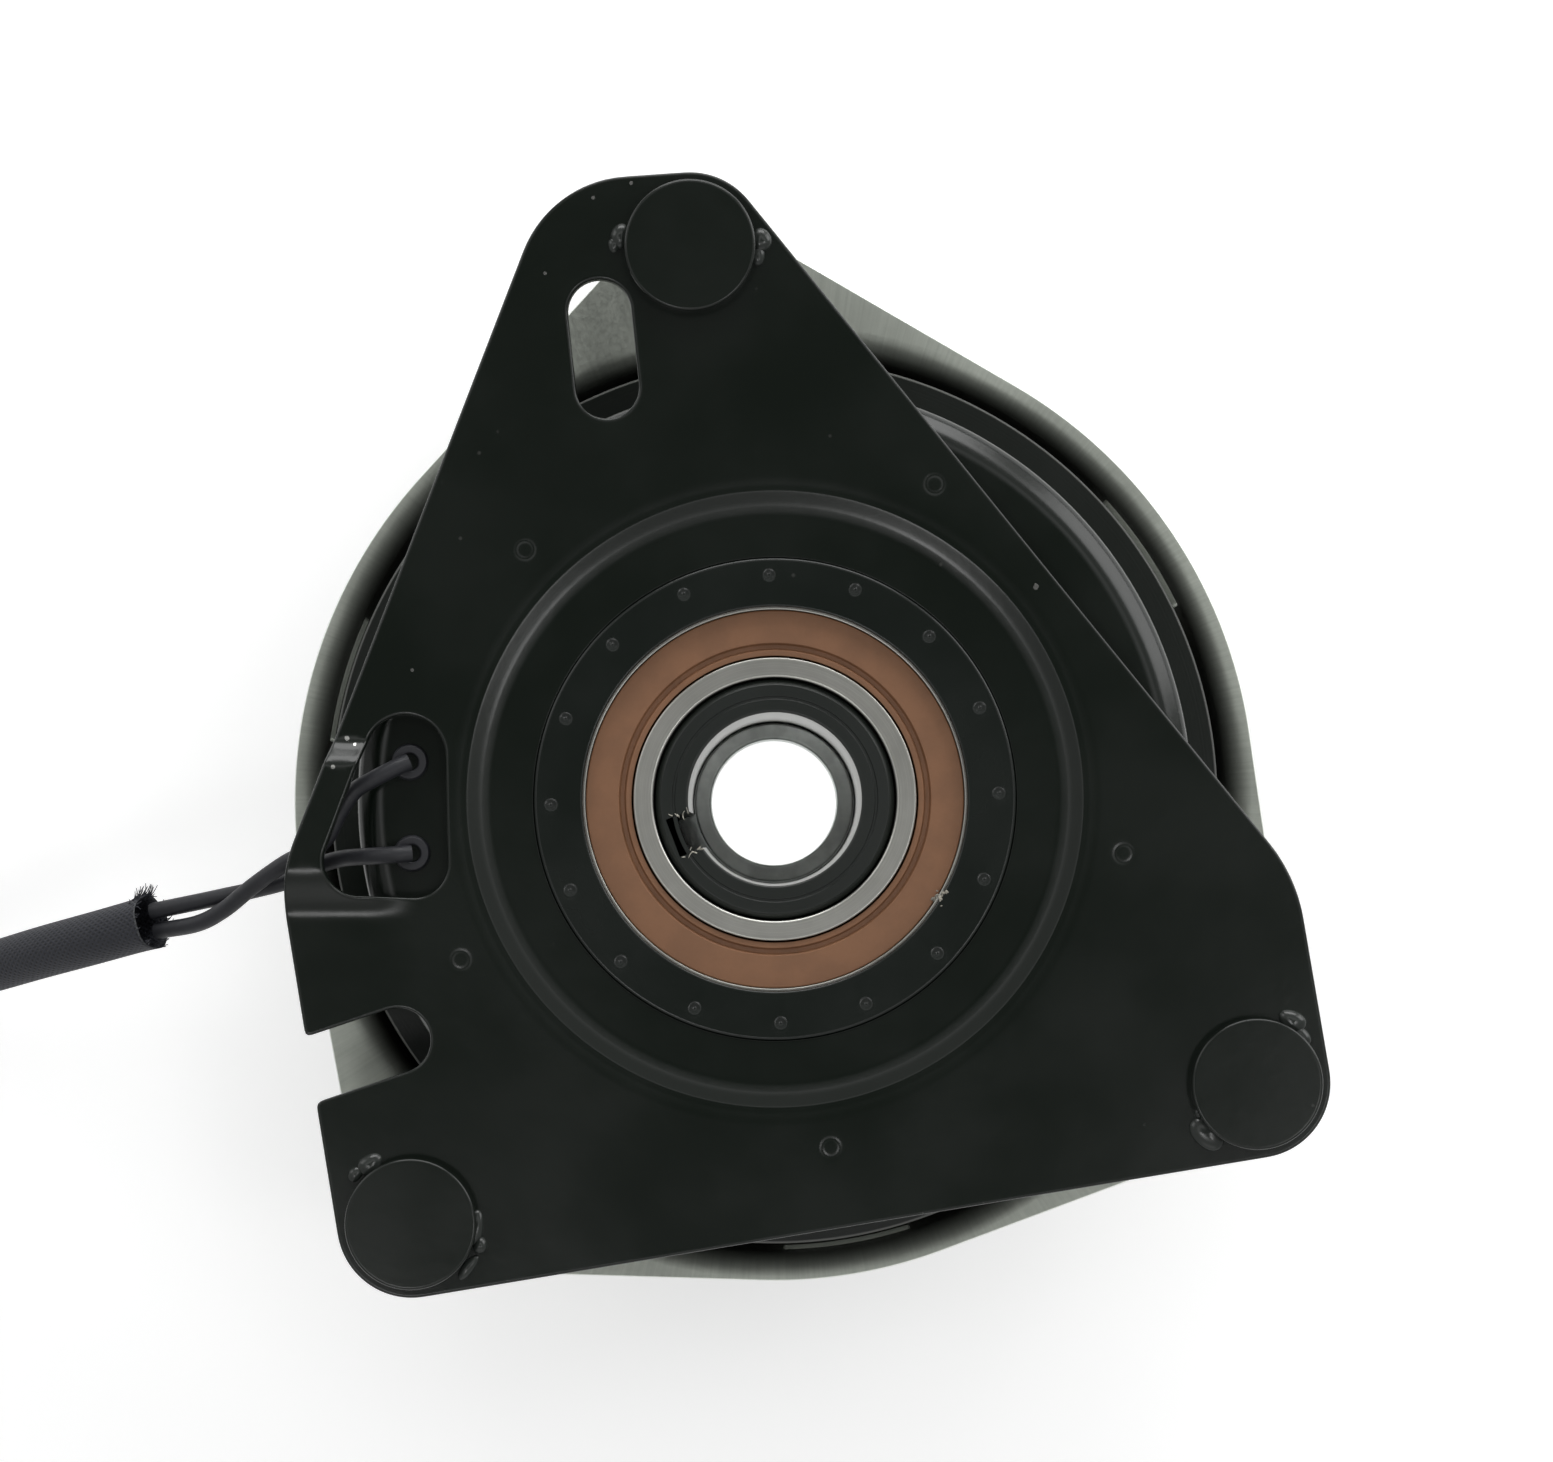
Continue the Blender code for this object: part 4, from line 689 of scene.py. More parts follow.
def drawn_steel(name, slot, color, roughness, lines=150.0):
    """Pressed steel drawn through a die: satin grain, faint long marks, painted shade over the bend and
    wall, and a painted highlight at marked edges.
    """
    look, tree, shader = new_look(name, slot, color, roughness, 0.8)
    spot = from_shaft(tree)
    away = vector_math(tree, "LENGTH", vector_math(tree, "MULTIPLY", spot, (1.0, 1.0, 0.0)))
    marks = use(tree, DRAWING, spot, Lines=lines, Stretch=30.0)
    stain = use(tree, GRAIN, spot, Scale=45.0)
    satin = use(tree, GRAIN, spot, Scale=1400.0)
    tone = math(tree, "ADD", math(tree, "MULTIPLY", marks, 0.35), math(tree, "MULTIPLY", stain, 0.65))
    shade = tuple(c * 0.74 for c in color)
    rubbed = mixed(tree, ramp(tree, tone, 0.30, 0.70), shade, color)
    # Painted shade: the colour darkens from the flange's bend inwards, down the wall and lip under the
    # plate.
    bend_painted_shade = tuple(c * 0.40 for c in color)
    plain = mixed(tree, ramp(tree, away, 76.2 * MM, 80.4 * MM), bend_painted_shade, rubbed)
    edge = add(tree, "ShaderNodeAttribute", attribute_name="edge", attribute_type="GEOMETRY").outputs["Fac"]
    # Painted highlight: marked edges turn nearly white.
    tree.links.new(mixed(tree, edge, plain, (0.92, 0.95, 0.90)), shader.inputs["Base Color"])
    dullness = ramp(tree, satin, 0.3, 0.7, roughness - 0.04, roughness + 0.08)
    tree.links.new(dullness, shader.inputs["Roughness"])
    bump(tree, shader, math(tree, "ADD", satin, math(tree, "MULTIPLY", marks, 0.4)), 0.25, 0.00003)
    return look


def plain_grain(name, slot, color, roughness, metallic=0.0, scale=700.0, strength=0.3, mottled=0.75):
    """A finish whose colour and roughness vary a little in fine grain."""
    look, tree, shader = new_look(name, slot, color, roughness, metallic)
    spot = from_shaft(tree)
    fine = use(tree, GRAIN, spot, Scale=scale)
    broad = use(tree, GRAIN, spot, Scale=scale / 9)
    shade = tuple(c * mottled for c in color)
    tree.links.new(mixed(tree, ramp(tree, broad, 0.35, 0.65), shade, color), shader.inputs["Base Color"])
    dullness = ramp(tree, fine, 0.3, 0.7, roughness - 0.05, roughness + 0.08)
    tree.links.new(dullness, shader.inputs["Roughness"])
    bump(tree, shader, fine, strength, 0.00005)
    return look


PULLEY_PAINT = black_paint("pulley_paint", roughness=0.34, turned=0.6)
HUB_BLACK = black_paint(
    "hub_black", roughness=0.36, turned=1.0, mark_spread=(-1.0, 0.0), tint=(0.0045, 0.0072, 0.0052)
)
ARMATURE_STEEL = turned_steel("armature_steel", "drawn_steel", (0.34, 0.34, 0.33), 0.38, 2500.0)
RING_STEEL = turned_steel("ring_steel", "ground_steel", (0.53, 0.53, 0.49), 0.33, 9000.0)
# Painted light: the bush is coloured paler than its steel, to stand in for light deep down the bore.
BRIGHTENED_BUSH_STEEL = plain_grain("bush_steel_painted_light", "drawn_steel", (0.84, 0.88, 0.85), 0.46, 0.7, 1500.0)
SPRING_STEEL = plain_grain("spring_steel", "spring_steel", (0.27, 0.27, 0.26), 0.34, 1.0, 900.0)
ZINC = plain_grain("zinc_plate", "zinc_plate", (0.60, 0.58, 0.50), 0.33, 1.0, 1200.0)
SEAL_RUBBER = plain_grain("seal_rubber", "brown_rubber", (0.222, 0.104, 0.049), 0.55, 0.0, 1500.0, 0.3, 0.88)
LEAD_RUBBER = plain_grain("lead_rubber", "black_rubber", (0.012, 0.013, 0.017), 0.50, 0.0, 900.0)
CONNECTOR_PLASTIC = plain_grain(
    "connector_plastic", "black_plastic", (0.016, 0.016, 0.016), 0.45, 0.0, 2500.0
)
LINING = plain_grain("friction_lining", "friction_lining", (0.10, 0.075, 0.055), 0.85, 0.0, 1500.0, 0.6, 0.5)
COPPER = plain_grain("enamelled_copper", "enamelled_copper", (0.50, 0.19, 0.09), 0.32, 1.0, 500.0)
RESIN = plain_grain("potting_resin", "potting_resin", (0.05, 0.025, 0.015), 0.30, 0.0, 200.0)
print("finishes", len(bpy.data.materials))


# %% Braided sleeve finish
def braided(name):
    """Black filament braid: the weave comes from the sleeve's own UV map."""
    look, tree, shader = new_look(name, "black_braid", (0.012, 0.013, 0.018), 0.66)
    uv = add(tree, "ShaderNodeUVMap", uv_map="UVMap").outputs[0]
    weave = use(tree, BRAID, uv, Pitch=420.0)
    color = mixed(tree, ramp(tree, weave, 0.35, 1.0), (0.004, 0.0045, 0.006), (0.019, 0.021, 0.029))
    from_mouth = math(tree, "ABSOLUTE", add(tree, "ShaderNodeSeparateXYZ", {0: uv}).outputs[1])
    color = mixed(tree, ramp(tree, from_mouth, 0.5 * MM, 0.2 * MM), color, (0.075, 0.080, 0.085))
    tree.links.new(color, shader.inputs["Base Color"])
    bump(tree, shader, weave, 0.8, 0.00025)
    return look


BRAIDED = braided("black_braid")

# %% [markdown]
# The mounting plate is stamped from 3 mm sheet: three round corners carry the studs, a slot and an
# open notch locate it on the engine, and an opening lets the two leads through. Its middle is
# dished where it is welded to the shell, and a strip beside the leads is pressed up over them.

# %% The plate's outline and cut-outs
STUD_ANGLES = {"top": 98.75, "left": 229.4, "right": -30.6}
studs = {side: polar(91.6 * MM, angle) for side, angle in STUD_ANGLES.items()}
corner_circles = [(*at, 12.3 * MM) for at in studs.values()]
side_circles = [(-0.0234, 0.08295, 0.0192), (-0.0544, -0.0162, 0.0260), (0.0601, -0.0242, 0.0270)]
notch_end = np.array([-61.8, -39.6]) * MM
notch = hull_of_circles([(*notch_end, 5.35 * MM), (*(notch_end + polar(30 * MM, 198.6)), 5.35 * MM)])
band = resampled(hull_of_circles(corner_circles + side_circles), 0.1 * MM)
outline = notched(band, resampled(notch, 0.1 * MM))
outline = resampled(eased(resampled(outline, 0.15 * MM), 40), 0.6 * MM)
slot = resampled(hull_of_circles([(-0.0288, 0.08005, 0.0052), (-0.0275, 0.0676, 0.0052)]), 0.5 * MM)
lead_circles = [(-0.0607, 0.0072, 0.0066), (-0.0593, -0.0106, 0.0056), (-0.0682, -0.0102, 0.0057)]
lead_hole = resampled(hull_of_circles(lead_circles), 0.5 * MM)
print("outline", len(outline), "points, area", round(area_of(outline) * 1e4, 1), "square cm")

# %% The plate's height
DISH_OUTER, DISH_INNER, DISH_DEPTH = 50.8 * MM, 46.9 * MM, 1.2 * MM
HOUSING_R = 39.6 * MM
JOGGLE_LIFT = 3.0 * MM
WELD_MARKS = [polar(57.9 * MM, 63.1 + 72 * k) for k in range(5)]
MARK_R, MARK_WIDTH, MARK_DEPTH = 1.5 * MM, 0.24 * MM, 0.07 * MM
# The dish's wall from its foot to its shoulder: radius in millimetres and slope in degrees
DISH_SLOPES = [
    (46.4, 0), (47.0, 9), (48.1, 12), (48.7, 22), (50.4, 22), (50.75, 1.5), (51.1, 1.5), (51.7, 8),
    (52.6, 6), (53.6, 0),
]
wall_r = np.arange(46.0, 54.0, 0.01)
wall_tilt = np.tan(np.radians(np.interp(wall_r, *np.array(DISH_SLOPES).T)))
wall_drop = np.cumsum(wall_tilt[::-1])[::-1]
wall_drop *= DISH_DEPTH / wall_drop[0]


def step(value):
    """0 to 1, straight in the middle and eased at both ends."""
    value = np.clip(value, 0, 1)
    return 0.5 * value + 0.5 * value * value * (3 - 2 * value)


def plate_height(xy):
    """The dish, the strip over the leads, and the weld marks' shallow rings."""
    x, y = xy[:, 0], xy[:, 1]
    dish = np.interp(np.hypot(x, y) / MM, wall_r, wall_drop)
    along = np.minimum((9.7 * MM - y) / (4.1 * MM), (y + 19.0 * MM) / (7.4 * MM))
    lift = step(along) * step((-58 * MM - x) / (8 * MM))
    marks = 0
    for at in WELD_MARKS:
        marks = marks + np.exp(-(((np.hypot(x - at[0], y - at[1]) - MARK_R) / MARK_WIDTH) ** 2))
    return JOGGLE_LIFT * lift - dish - MARK_DEPTH * marks


def hex_grid(low, high, spacing):
    """Points of a honeycomb over a rectangle: every second row is moved by half a step."""
    rows = np.arange(low[1], high[1], spacing * 0.866)
    columns = np.arange(low[0], high[0], spacing)
    x, y = np.meshgrid(columns, rows)
    x = x + (np.arange(len(rows)) % 2)[:, None] * spacing / 2
    return np.stack([x.ravel(), y.ravel()], -1)


coarse = hex_grid((-0.085, -0.085), (0.095, 0.106), 3.2 * MM)
away = np.hypot(*coarse.T)
near_leads = (coarse[:, 0] < -55 * MM) & (np.abs(coarse[:, 1] + 5 * MM) < 18 * MM)
coarse = coarse[((away > 55 * MM) | (away < 45 * MM)) & ~near_leads]
for at in WELD_MARKS:
    coarse = coarse[np.hypot(*(coarse - at).T) > 3.2 * MM]
dish_radii = [
    46.0, 46.4, 46.7, 47.0, 47.2, 47.4, 47.6, 47.8, 48.0, 48.15, 48.4, 48.9, 49.5, 50.1, 50.4, 50.5,
    50.6, 50.7, 50.8, 50.9, 51.0, 51.15, 51.3, 51.5, 51.7, 51.9, 52.2, 52.6, 53.0, 53.4, 53.7, 54.2,
]
dish_rings = [ring(r * MM, count=240) for r in dish_radii]
mark_radii = MARK_R + np.array([-1.0, -0.6, -0.3, -0.1, 0.1, 0.3, 0.6, 1.2]) * MM
mark_rings = [ring(r, at, 24) for at in WELD_MARKS for r in mark_radii]
fine = hex_grid((-0.082, -0.0225), (-0.0555, 0.0125), 1.1 * MM)
fine = fine[np.hypot(*fine.T) > 54.8 * MM]
free_points = np.concatenate([coarse, fine] + dish_rings + mark_rings + [np.array(WELD_MARKS)])

# %% The plate
plate_edge = stamped_edge(PLATE_THICK, 0.40 * MM, 0.15 * MM, support=0.15 * MM)
hole_edge = stamped_edge(PLATE_THICK, 0.45 * MM, 0.15 * MM)
cuts = [(slot, hole_edge), (lead_hole, hole_edge)]
cuts.append((ring(HOUSING_R + 0.1 * MM), stamped_edge(PLATE_THICK, 0.12 * MM)))
cuts += [(ring(4.3 * MM, at, 48), stamped_edge(PLATE_THICK, 0.2 * MM)) for at in studs.values()]
# Each chip's place and size, in metres from the shaft
CHIPS = [
    (-0.0298, 0.0985, 0.00034), (-0.0236, 0.1010, 0.00030), (-0.0377, 0.0862, 0.00022),
    (-0.0595, 0.0211, 0.00024), (-0.0702, 0.0100, 0.00040), (-0.0688, 0.0090, 0.00030),
    (-0.0722, 0.0052, 0.00030), (0.0427, 0.0348, 0.00045),
]
PLATE_PAINT = black_paint("plate_paint", roughness=0.23, chips=CHIPS)
sheet_piece(
    "mounting_plate", (outline, plate_edge), cuts, PLATE_TOP, PLATE_THICK, PLATE_PAINT,
    "field", ["field_plate"], plate_height, free_points,
)
print("plate faces", made[-1][1])

# %% [markdown]
# The shell is a cup drawn from thick sheet. Its back corner is two bends with a short cone between
# them, which carries the longest highlight in the picture. Inside it the bearing housing is turned from bar.
# Its lip is rolled over the bearing and staked in sixteen places, which leaves small dents.

# %% Shell and housing
SHELL_TOP = node_top("field_shell")
MOUTH = node_bottom("field_shell")
SHELL_R = 69.0 * MM
nested = SHELL_TOP - DISH_DEPTH
shell_corners = [
    (39.9 * MM, nested - 4 * MM, 0.3 * MM),
    (39.9 * MM, nested, 0.2 * MM),
    (DISH_INNER, nested, 1.0 * MM),
    (DISH_OUTER, SHELL_TOP, 2.0 * MM),
    (SHELL_R - 3.3 * MM, SHELL_TOP, 4.5 * MM),
    (SHELL_R, SHELL_TOP - 2.3 * MM, 2.4 * MM),
    (SHELL_R, MOUTH, 0.5 * MM),
    (SHELL_R - 3 * MM, MOUTH, 0.5 * MM),
    (SHELL_R - 3 * MM, nested - 4 * MM, 3.0 * MM),
]
SHELL_PAINT = black_paint("shell_paint", roughness=0.22, mark_spread=(-1.0, 0.0))


def shell_painted_highlight(grid):
    """A thin painted highlight where the drawn corner runs into the upright wall: the paint turns a little
    towards steel there.
    """
    radius, height = np.hypot(*np.moveaxis(grid - SHAFT, -1, 0)[:2]), grid[..., 2]
    return 0.08 * (radius > SHELL_R - 0.25 * MM) * (height > SHELL_TOP - 7.2 * MM)


turned_piece(
    "coil_shell", shell_corners, SHELL_PAINT, "field", ["field_shell"], 240, values={"edge": shell_painted_highlight}
)

LIP_TOP = node_top("bearing_housing")
BEARING_TOP = node_top("field_bearing_outer_ring")
BEARING_BOTTOM = node_bottom("field_bearing_outer_ring")
housing_corners = [
    (31.6 * MM, LIP_TOP, 0.35 * MM),
    (HOUSING_R, LIP_TOP, 0.45 * MM),
    (HOUSING_R, nested - 4.4 * MM, 0.2 * MM),
    (42.5 * MM, nested - 4.4 * MM, 0.3 * MM),
    (42.5 * MM, MOUTH, 0.4 * MM),
    (30.5 * MM, MOUTH, 0.4 * MM),
    (30.5 * MM, BEARING_BOTTOM - 0.3 * MM, 0.3 * MM),
    (34.3 * MM, BEARING_BOTTOM - 0.3 * MM, 0.2 * MM),
    (34.3 * MM, BEARING_TOP + 0.3 * MM, 0.2 * MM),
    (31.6 * MM, BEARING_TOP + 0.3 * MM, 0.1 * MM),
]
STAKES = np.radians(91.5 + 22.5 * np.arange(16))
around_stake = np.radians(np.linspace(-2.1, 2.1, 15))
between = np.radians(np.linspace(2.9, 19.6, 8))
beside_stake = np.concatenate([around_stake, between])
stake_columns = np.sort((STAKES[:, None] + beside_stake).ravel() % (2 * np.pi))


def staked(grid):
    """Rows across the lip sink by a round dent at each stake: a cone with a soft rim."""
    flat = grid - SHAFT
    middle = 36.8 * MM * np.stack([np.cos(STAKES), np.sin(STAKES)], -1)
    away = np.linalg.norm(flat[..., None, :2] - middle, axis=-1).min(-1)
    dent = 0.32 * MM * np.clip(1 - (away / (0.95 * MM)) ** 1.5, 0, 1)
    raised = 0.02 * MM * np.exp(-(((away - 1.15 * MM) / (0.25 * MM)) ** 2))
    on_lip = flat[..., 2] > LIP_TOP - 0.02 * MM
    grid[..., 2] += np.where(on_lip, raised - dent, 0)
    return grid


HOUSING_PAINT = black_paint("housing_paint", roughness=0.25, turned=0.4, tint=(0.0042, 0.0070, 0.0050))
profile = with_rows(rounded(housing_corners), LIP_TOP, np.arange(35.2, 38.5, 0.3) * MM)
grid = staked(spun(profile, stake_columns))
piece("staked_housing", grid, [grid_faces(*grid.shape[:2])], HOUSING_PAINT, "field", ["bearing_housing"])
print("housing", grid.shape)

# %% [markdown]
# Both ball bearings are the same standard size: two ground rings with small chamfers, and on each
# side a moulded rubber seal. The seal has a raised outer bead, a flat face, and a thin lip that
# rubs on the inner ring behind a shallow groove. The printing on the real seal is left off.


# %% Bearings
def bearing(prefix, top, still, turning):
    bottom = top - 15 * MM
    deep = 1.8 * MM
    outer = [
        (31.2, top, 0.12), (34, top, 0.8), (34, bottom, 0.8), (31.2, bottom, 0.12),
        (31.2, bottom + deep, 0.1),
        (30.5, bottom + deep, 0.2), (30.5, top - deep, 0.2), (31.2, top - deep, 0.1),
    ]
    inner = [(20, top, 0.45), (23.3, top, 0.25), (23.3, bottom, 0.25), (20, bottom, 0.45)]
    outer, inner = corners_mm(outer), corners_mm(inner)
    turned_piece(f"{prefix}_outer_ring", outer, RING_STEEL, still, [f"{prefix}_bearing_outer_ring"])
    turned_piece(f"{prefix}_inner_ring", inner, RING_STEEL, turning, [f"{prefix}_bearing_inner_ring"])
    for side, face, down in (("upper", top - 0.3 * MM, -1), ("lower", bottom + 0.3 * MM, 1)):
        seal = [
            (31.1, 0.10, 0.25), (25.7, 0.02, 0.15), (25.45, 0.95, 0.12), (24.75, 0.95, 0.12),
            (24.5, 0.15, 0.12),
            (23.6, 0.25, 0.1), (23.6, 0.80, 0.1), (24.4, 1.4, 0.2), (31.1, 1.4, 0.2),
        ]
        corners = [(r * MM, face + down * depth * MM, fillet * MM) for r, depth, fillet in seal]
        replaced = [f"{prefix}_bearing_{side}_seal"]
        turned_piece(f"{prefix}_{side}_rubber", corners, SEAL_RUBBER, still, replaced)


bearing("field", BEARING_TOP, "field", "rotor")
bearing("pulley", node_top("pulley_bearing_outer_ring"), "pulley", "rotor")

# %% [markdown]
# The hub is a long sleeve with a keyway broached down its bore. Seen from above, the bore is a
# circle with a square step. Its distance from the axis is worked out for every direction, so the
# keyway is part of the same grid as the round bore.

# %% Hub and bush
BORE_R, KEY_HALF, KEY_FLOOR = 14.2875 * MM, 3.175 * MM, 17.5 * MM
KEY_TURN = np.radians(201.0)
corner_turn, mouth_turn = np.arctan(KEY_HALF / KEY_FLOOR), np.arcsin(KEY_HALF / BORE_R)
key_columns = np.concatenate([
    np.linspace(-mouth_turn, -corner_turn, 7)[:-1],
    np.linspace(-corner_turn, corner_turn, 13),
    np.linspace(corner_turn, mouth_turn, 7)[1:],
    np.linspace(mouth_turn, 2 * np.pi - mouth_turn, 150)[1:-1],
])


def bore_reach(turn):
    """Distance to the bore's wall: the circle, the key's floor, or the key's side walls."""
    turn = (turn + np.pi) % (2 * np.pi) - np.pi
    ahead = np.maximum(np.cos(turn), 0.05)
    keyed = np.minimum(KEY_FLOOR / ahead, KEY_HALF / np.maximum(np.abs(np.sin(turn)), 1e-9))
    return np.where(np.cos(turn) > 0.5, np.maximum(BORE_R, keyed), BORE_R)


HUB_FOOT = node_bottom("rotor_hub")
PULLEY_BEARING_TOP = node_top("pulley_bearing_outer_ring")
SEAT_R = 19.7 * MM
hub_corners = [
    (BORE_R, HUB_FOOT, 0.5 * MM),
    (BORE_R, BEARING_TOP, 0.38 * MM),
    (16.4 * MM, BEARING_TOP, 0.1 * MM),
    (16.55 * MM, BEARING_TOP - 0.15 * MM, 0.08 * MM),
    (16.85 * MM, BEARING_TOP - 0.15 * MM, 0.08 * MM),
    (17.0 * MM, BEARING_TOP, 0.1 * MM),
    (SEAT_R - 0.9 * MM, BEARING_TOP, 0.25 * MM),
    (SEAT_R, BEARING_TOP - 0.9 * MM, 0.25 * MM),
    (SEAT_R, BEARING_BOTTOM - 0.3 * MM, 0.2 * MM),
    (24.0 * MM, BEARING_BOTTOM - 0.3 * MM, 0.4 * MM),
    (24.0 * MM, PULLEY_BEARING_TOP + 0.3 * MM, 0.4 * MM),
    (SEAT_R, PULLEY_BEARING_TOP + 0.3 * MM, 0.2 * MM),
    (SEAT_R, HUB_FOOT, 0.6 * MM),
]
profile = rounded(np.array(hub_corners))
reach = np.where(
    profile[:, :1] < 15.2 * MM,
    profile[:, :1] - BORE_R + bore_reach(key_columns)[None],
    profile[:, :1],
)
turn = key_columns + KEY_TURN
height = np.repeat(profile[:, 1:], len(turn), axis=1)
grid = np.stack([reach * np.cos(turn), reach * np.sin(turn), height], -1) + SHAFT
round_bore = (bore_reach(key_columns) < 1.001 * BORE_R) & (profile[:, :1] < 14.75 * MM)
bare = 0.10 * (round_bore & (height < BEARING_TOP - 0.05 * MM))
bare += 0.90 * (round_bore & (height < BEARING_TOP - 0.45 * MM))
piece(
    "keyed_hub", grid, [grid_faces(*grid.shape[:2])], HUB_BLACK, "rotor", ["rotor_hub"],
    values={"edge": bare.ravel()}, sharp=40,
)
bush_top = node_top("shaft_bush")
bush = [(11.1, bush_top, 0.5), (13.95, bush_top, 0.3), (13.95, HUB_FOOT, 0.3), (11.1, HUB_FOOT, 0.5)]
turned_piece("end_bush", corners_mm(bush), BRIGHTENED_BUSH_STEEL, "rotor", ["shaft_bush"], 96)
low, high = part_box("hub_retaining_ring")
clip = [(18.8, low.z, 0.2), (23.0, low.z, 0.2), (23.0, high.z, 0.2), (18.8, high.z, 0.2)]
turned_piece("hub_clip", corners_mm(clip), SPRING_STEEL, "rotor", ["hub_retaining_ring"], 96)
print("hub", grid.shape)

# %% [markdown]
# The rotor is one forging: a disc with two rows of arc slots, which make the magnetic flux cross
# to the armature and back, a rim round the shell and a boss on the hub. Here the rim and the
# boss are the long sections of the disc's outer and inner edge.


# %% Rotor and armature
def arc_slot(radius, half_width, middle, span):
    """Two arcs about the shaft joined by half circles: each point is radius plus a share of the width."""
    start, end = np.radians(middle - span / 2), np.radians(middle + span / 2)
    along = np.linspace(start, end, 60)
    cap = np.linspace(0, np.pi, 9)[1:-1]

    def on_circle(turn, reach):
        return reach * np.stack([np.cos(turn), np.sin(turn)], -1)

    outer, inner = on_circle(along, radius + half_width), on_circle(along[::-1], radius - half_width)
    far = on_circle(end, radius) + on_circle(end + cap, half_width)
    near = on_circle(start, radius) + on_circle(start + np.pi + cap, half_width)
    return np.concatenate([outer, far, inner, near])


FACE = node_bottom("rotor")
DISC_THICK = 7 * MM
BACK = FACE + DISC_THICK
ROTOR_R = 75.0 * MM
rim_corners = [
    (5.7, 0, 0), (5.4, 0, 0.6), (5.4, 6, 0.35), (0.30, 6, 0.06), (0, 5.6, 0.06), (0, -7, 0.5), (1.2, -7, 0),
]
rim_line = rounded(np.array(rim_corners) * MM, closed=False)
rim_line = with_rows(rim_line, 6 * MM, np.array([4.7, 0.6, 0.5]) * MM)
boss_corners = [(6.0, 0, 0), (5.1, 0, 0.5), (5.1, 10.2, 0.5), (0, 10.2, 0.4), (0, -7, 0.4), (1, -7, 0)]
boss_line = rounded(np.array(boss_corners) * MM, closed=False)
slot_edge = stamped_edge(DISC_THICK, 0.3 * MM)
slots = [(arc_slot(50.5 * MM, 1.5 * MM, 60 * i, 40), slot_edge) for i in range(6)]
slots += [(arc_slot(62.5 * MM, 1.5 * MM, 60 * i + 30, 40), slot_edge) for i in range(6)]
ROTOR_BLACK = black_paint("rotor_black", roughness=0.32, turned=0.6, mark_spread=(0.10, 0.42))
points, blocks, _ = sheet_mesh(
    (ring(ROTOR_R, count=240), rim_line), [(ring(24.3 * MM), boss_line)] + slots, BACK, DISC_THICK
)
away = np.hypot(*(points - SHAFT)[:, :2].T)
above = points[:, 2] - BACK
# Edge marks: the rim's outer chamfer is bare steel, and the line marked on its inner rounded edge is a
# painted highlight.
rim_bare_and_highlight = 0.13 * (above > 5.5 * MM) * (away > ROTOR_R - 0.4 * MM)
rim_bare_and_highlight += 0.8 * (above > 5.6 * MM) * (away > ROTOR_R - 5.5 * MM) * (away < ROTOR_R - 4.9 * MM)
piece("slotted_rotor", points, blocks, ROTOR_BLACK, "rotor", ["rotor"], values={"edge": rim_bare_and_highlight}, sharp=50)

ARMATURE_TOP = node_top("armature")
RIVET_RING_R = 48.5 * MM
LEAF_TURNS = [20.0 + 120.0 * i for i in range(3)]
cuts = [(ring(41 * MM), stamped_edge(6 * MM, 0.4 * MM))]
for start in LEAF_TURNS:
    cuts.append((ring(4.7 * MM, polar(RIVET_RING_R, start + 60), 32), stamped_edge(6 * MM, 0.2 * MM)))
    cuts.append((arc_slot(59 * MM, 1.5 * MM, start + 120, 80), stamped_edge(6 * MM, 0.3 * MM)))
sheet_piece(
    "armature_ring", (ring(74 * MM, count=240), stamped_edge(6 * MM, 0.5 * MM)), cuts, ARMATURE_TOP, 6 * MM,
    ARMATURE_STEEL, "armature", ["armature"], sharp=50,
)

# %% [markdown]
# The pulley is a belt groove with a web and a bearing seat. Its armature hangs on three flat
# springs, each riveted to a boss of the web at one end and to the armature at the other, so the
# springs bend between the two when the clutch is switched on.

# %% Pulley
groove_run = 15 * np.tan(np.radians(19.0))
pulley_corners = [
    (56.5, 0, 0.8), (56.5, 9.5, 1.5), (40, 9.5, 1.5), (40, 2.9, 0.6), (31.8, 2.9, 0.4), (31.8, 4.7, 0.2),
    (34.3, 4.7, 0.1), (34.3, 20.0, 0.1), (35.5, 20.0, 0.1), (35.5, 22.1, 0.1), (34.3, 22.1, 0.1),
    (34.3, 23.0, 0.3), (40, 23.0, 0.5), (40, 14.5, 1.5), (56.5, 14.5, 1.5), (56.5, 23, 0.6), (76, 23, 0.8),
    (76, 19.75, 0.5), (61, 19.75 - groove_run, 0.8), (61, 3.25 + groove_run, 0.8),
    (76, 3.25, 0.5), (76, 0, 0.8),
]
turned_piece("belt_pulley", np.array(pulley_corners) * MM, PULLEY_PAINT, "pulley", ["pulley"], 240)
low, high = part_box("pulley_snap_ring")
clip = [(32.2, low.z, 0.2), (35.2, low.z, 0.2), (35.2, high.z, 0.2), (32.2, high.z, 0.2)]
turned_piece("bearing_clip", corners_mm(clip), SPRING_STEEL, "pulley", ["pulley_snap_ring"])

# %% Solid turned pieces


def pole_fans(rows, columns):
    """Triangles from a grid's first and last row to the two poles that follow its points."""
    j, across = np.arange(columns), (np.arange(columns) + 1) % columns
    below, above, last = rows * columns, rows * columns + 1, (rows - 1) * columns
    return [
        np.stack([np.full(columns, below), across, j], -1),
        np.stack([np.full(columns, above), last + j, last + across], -1),
    ]


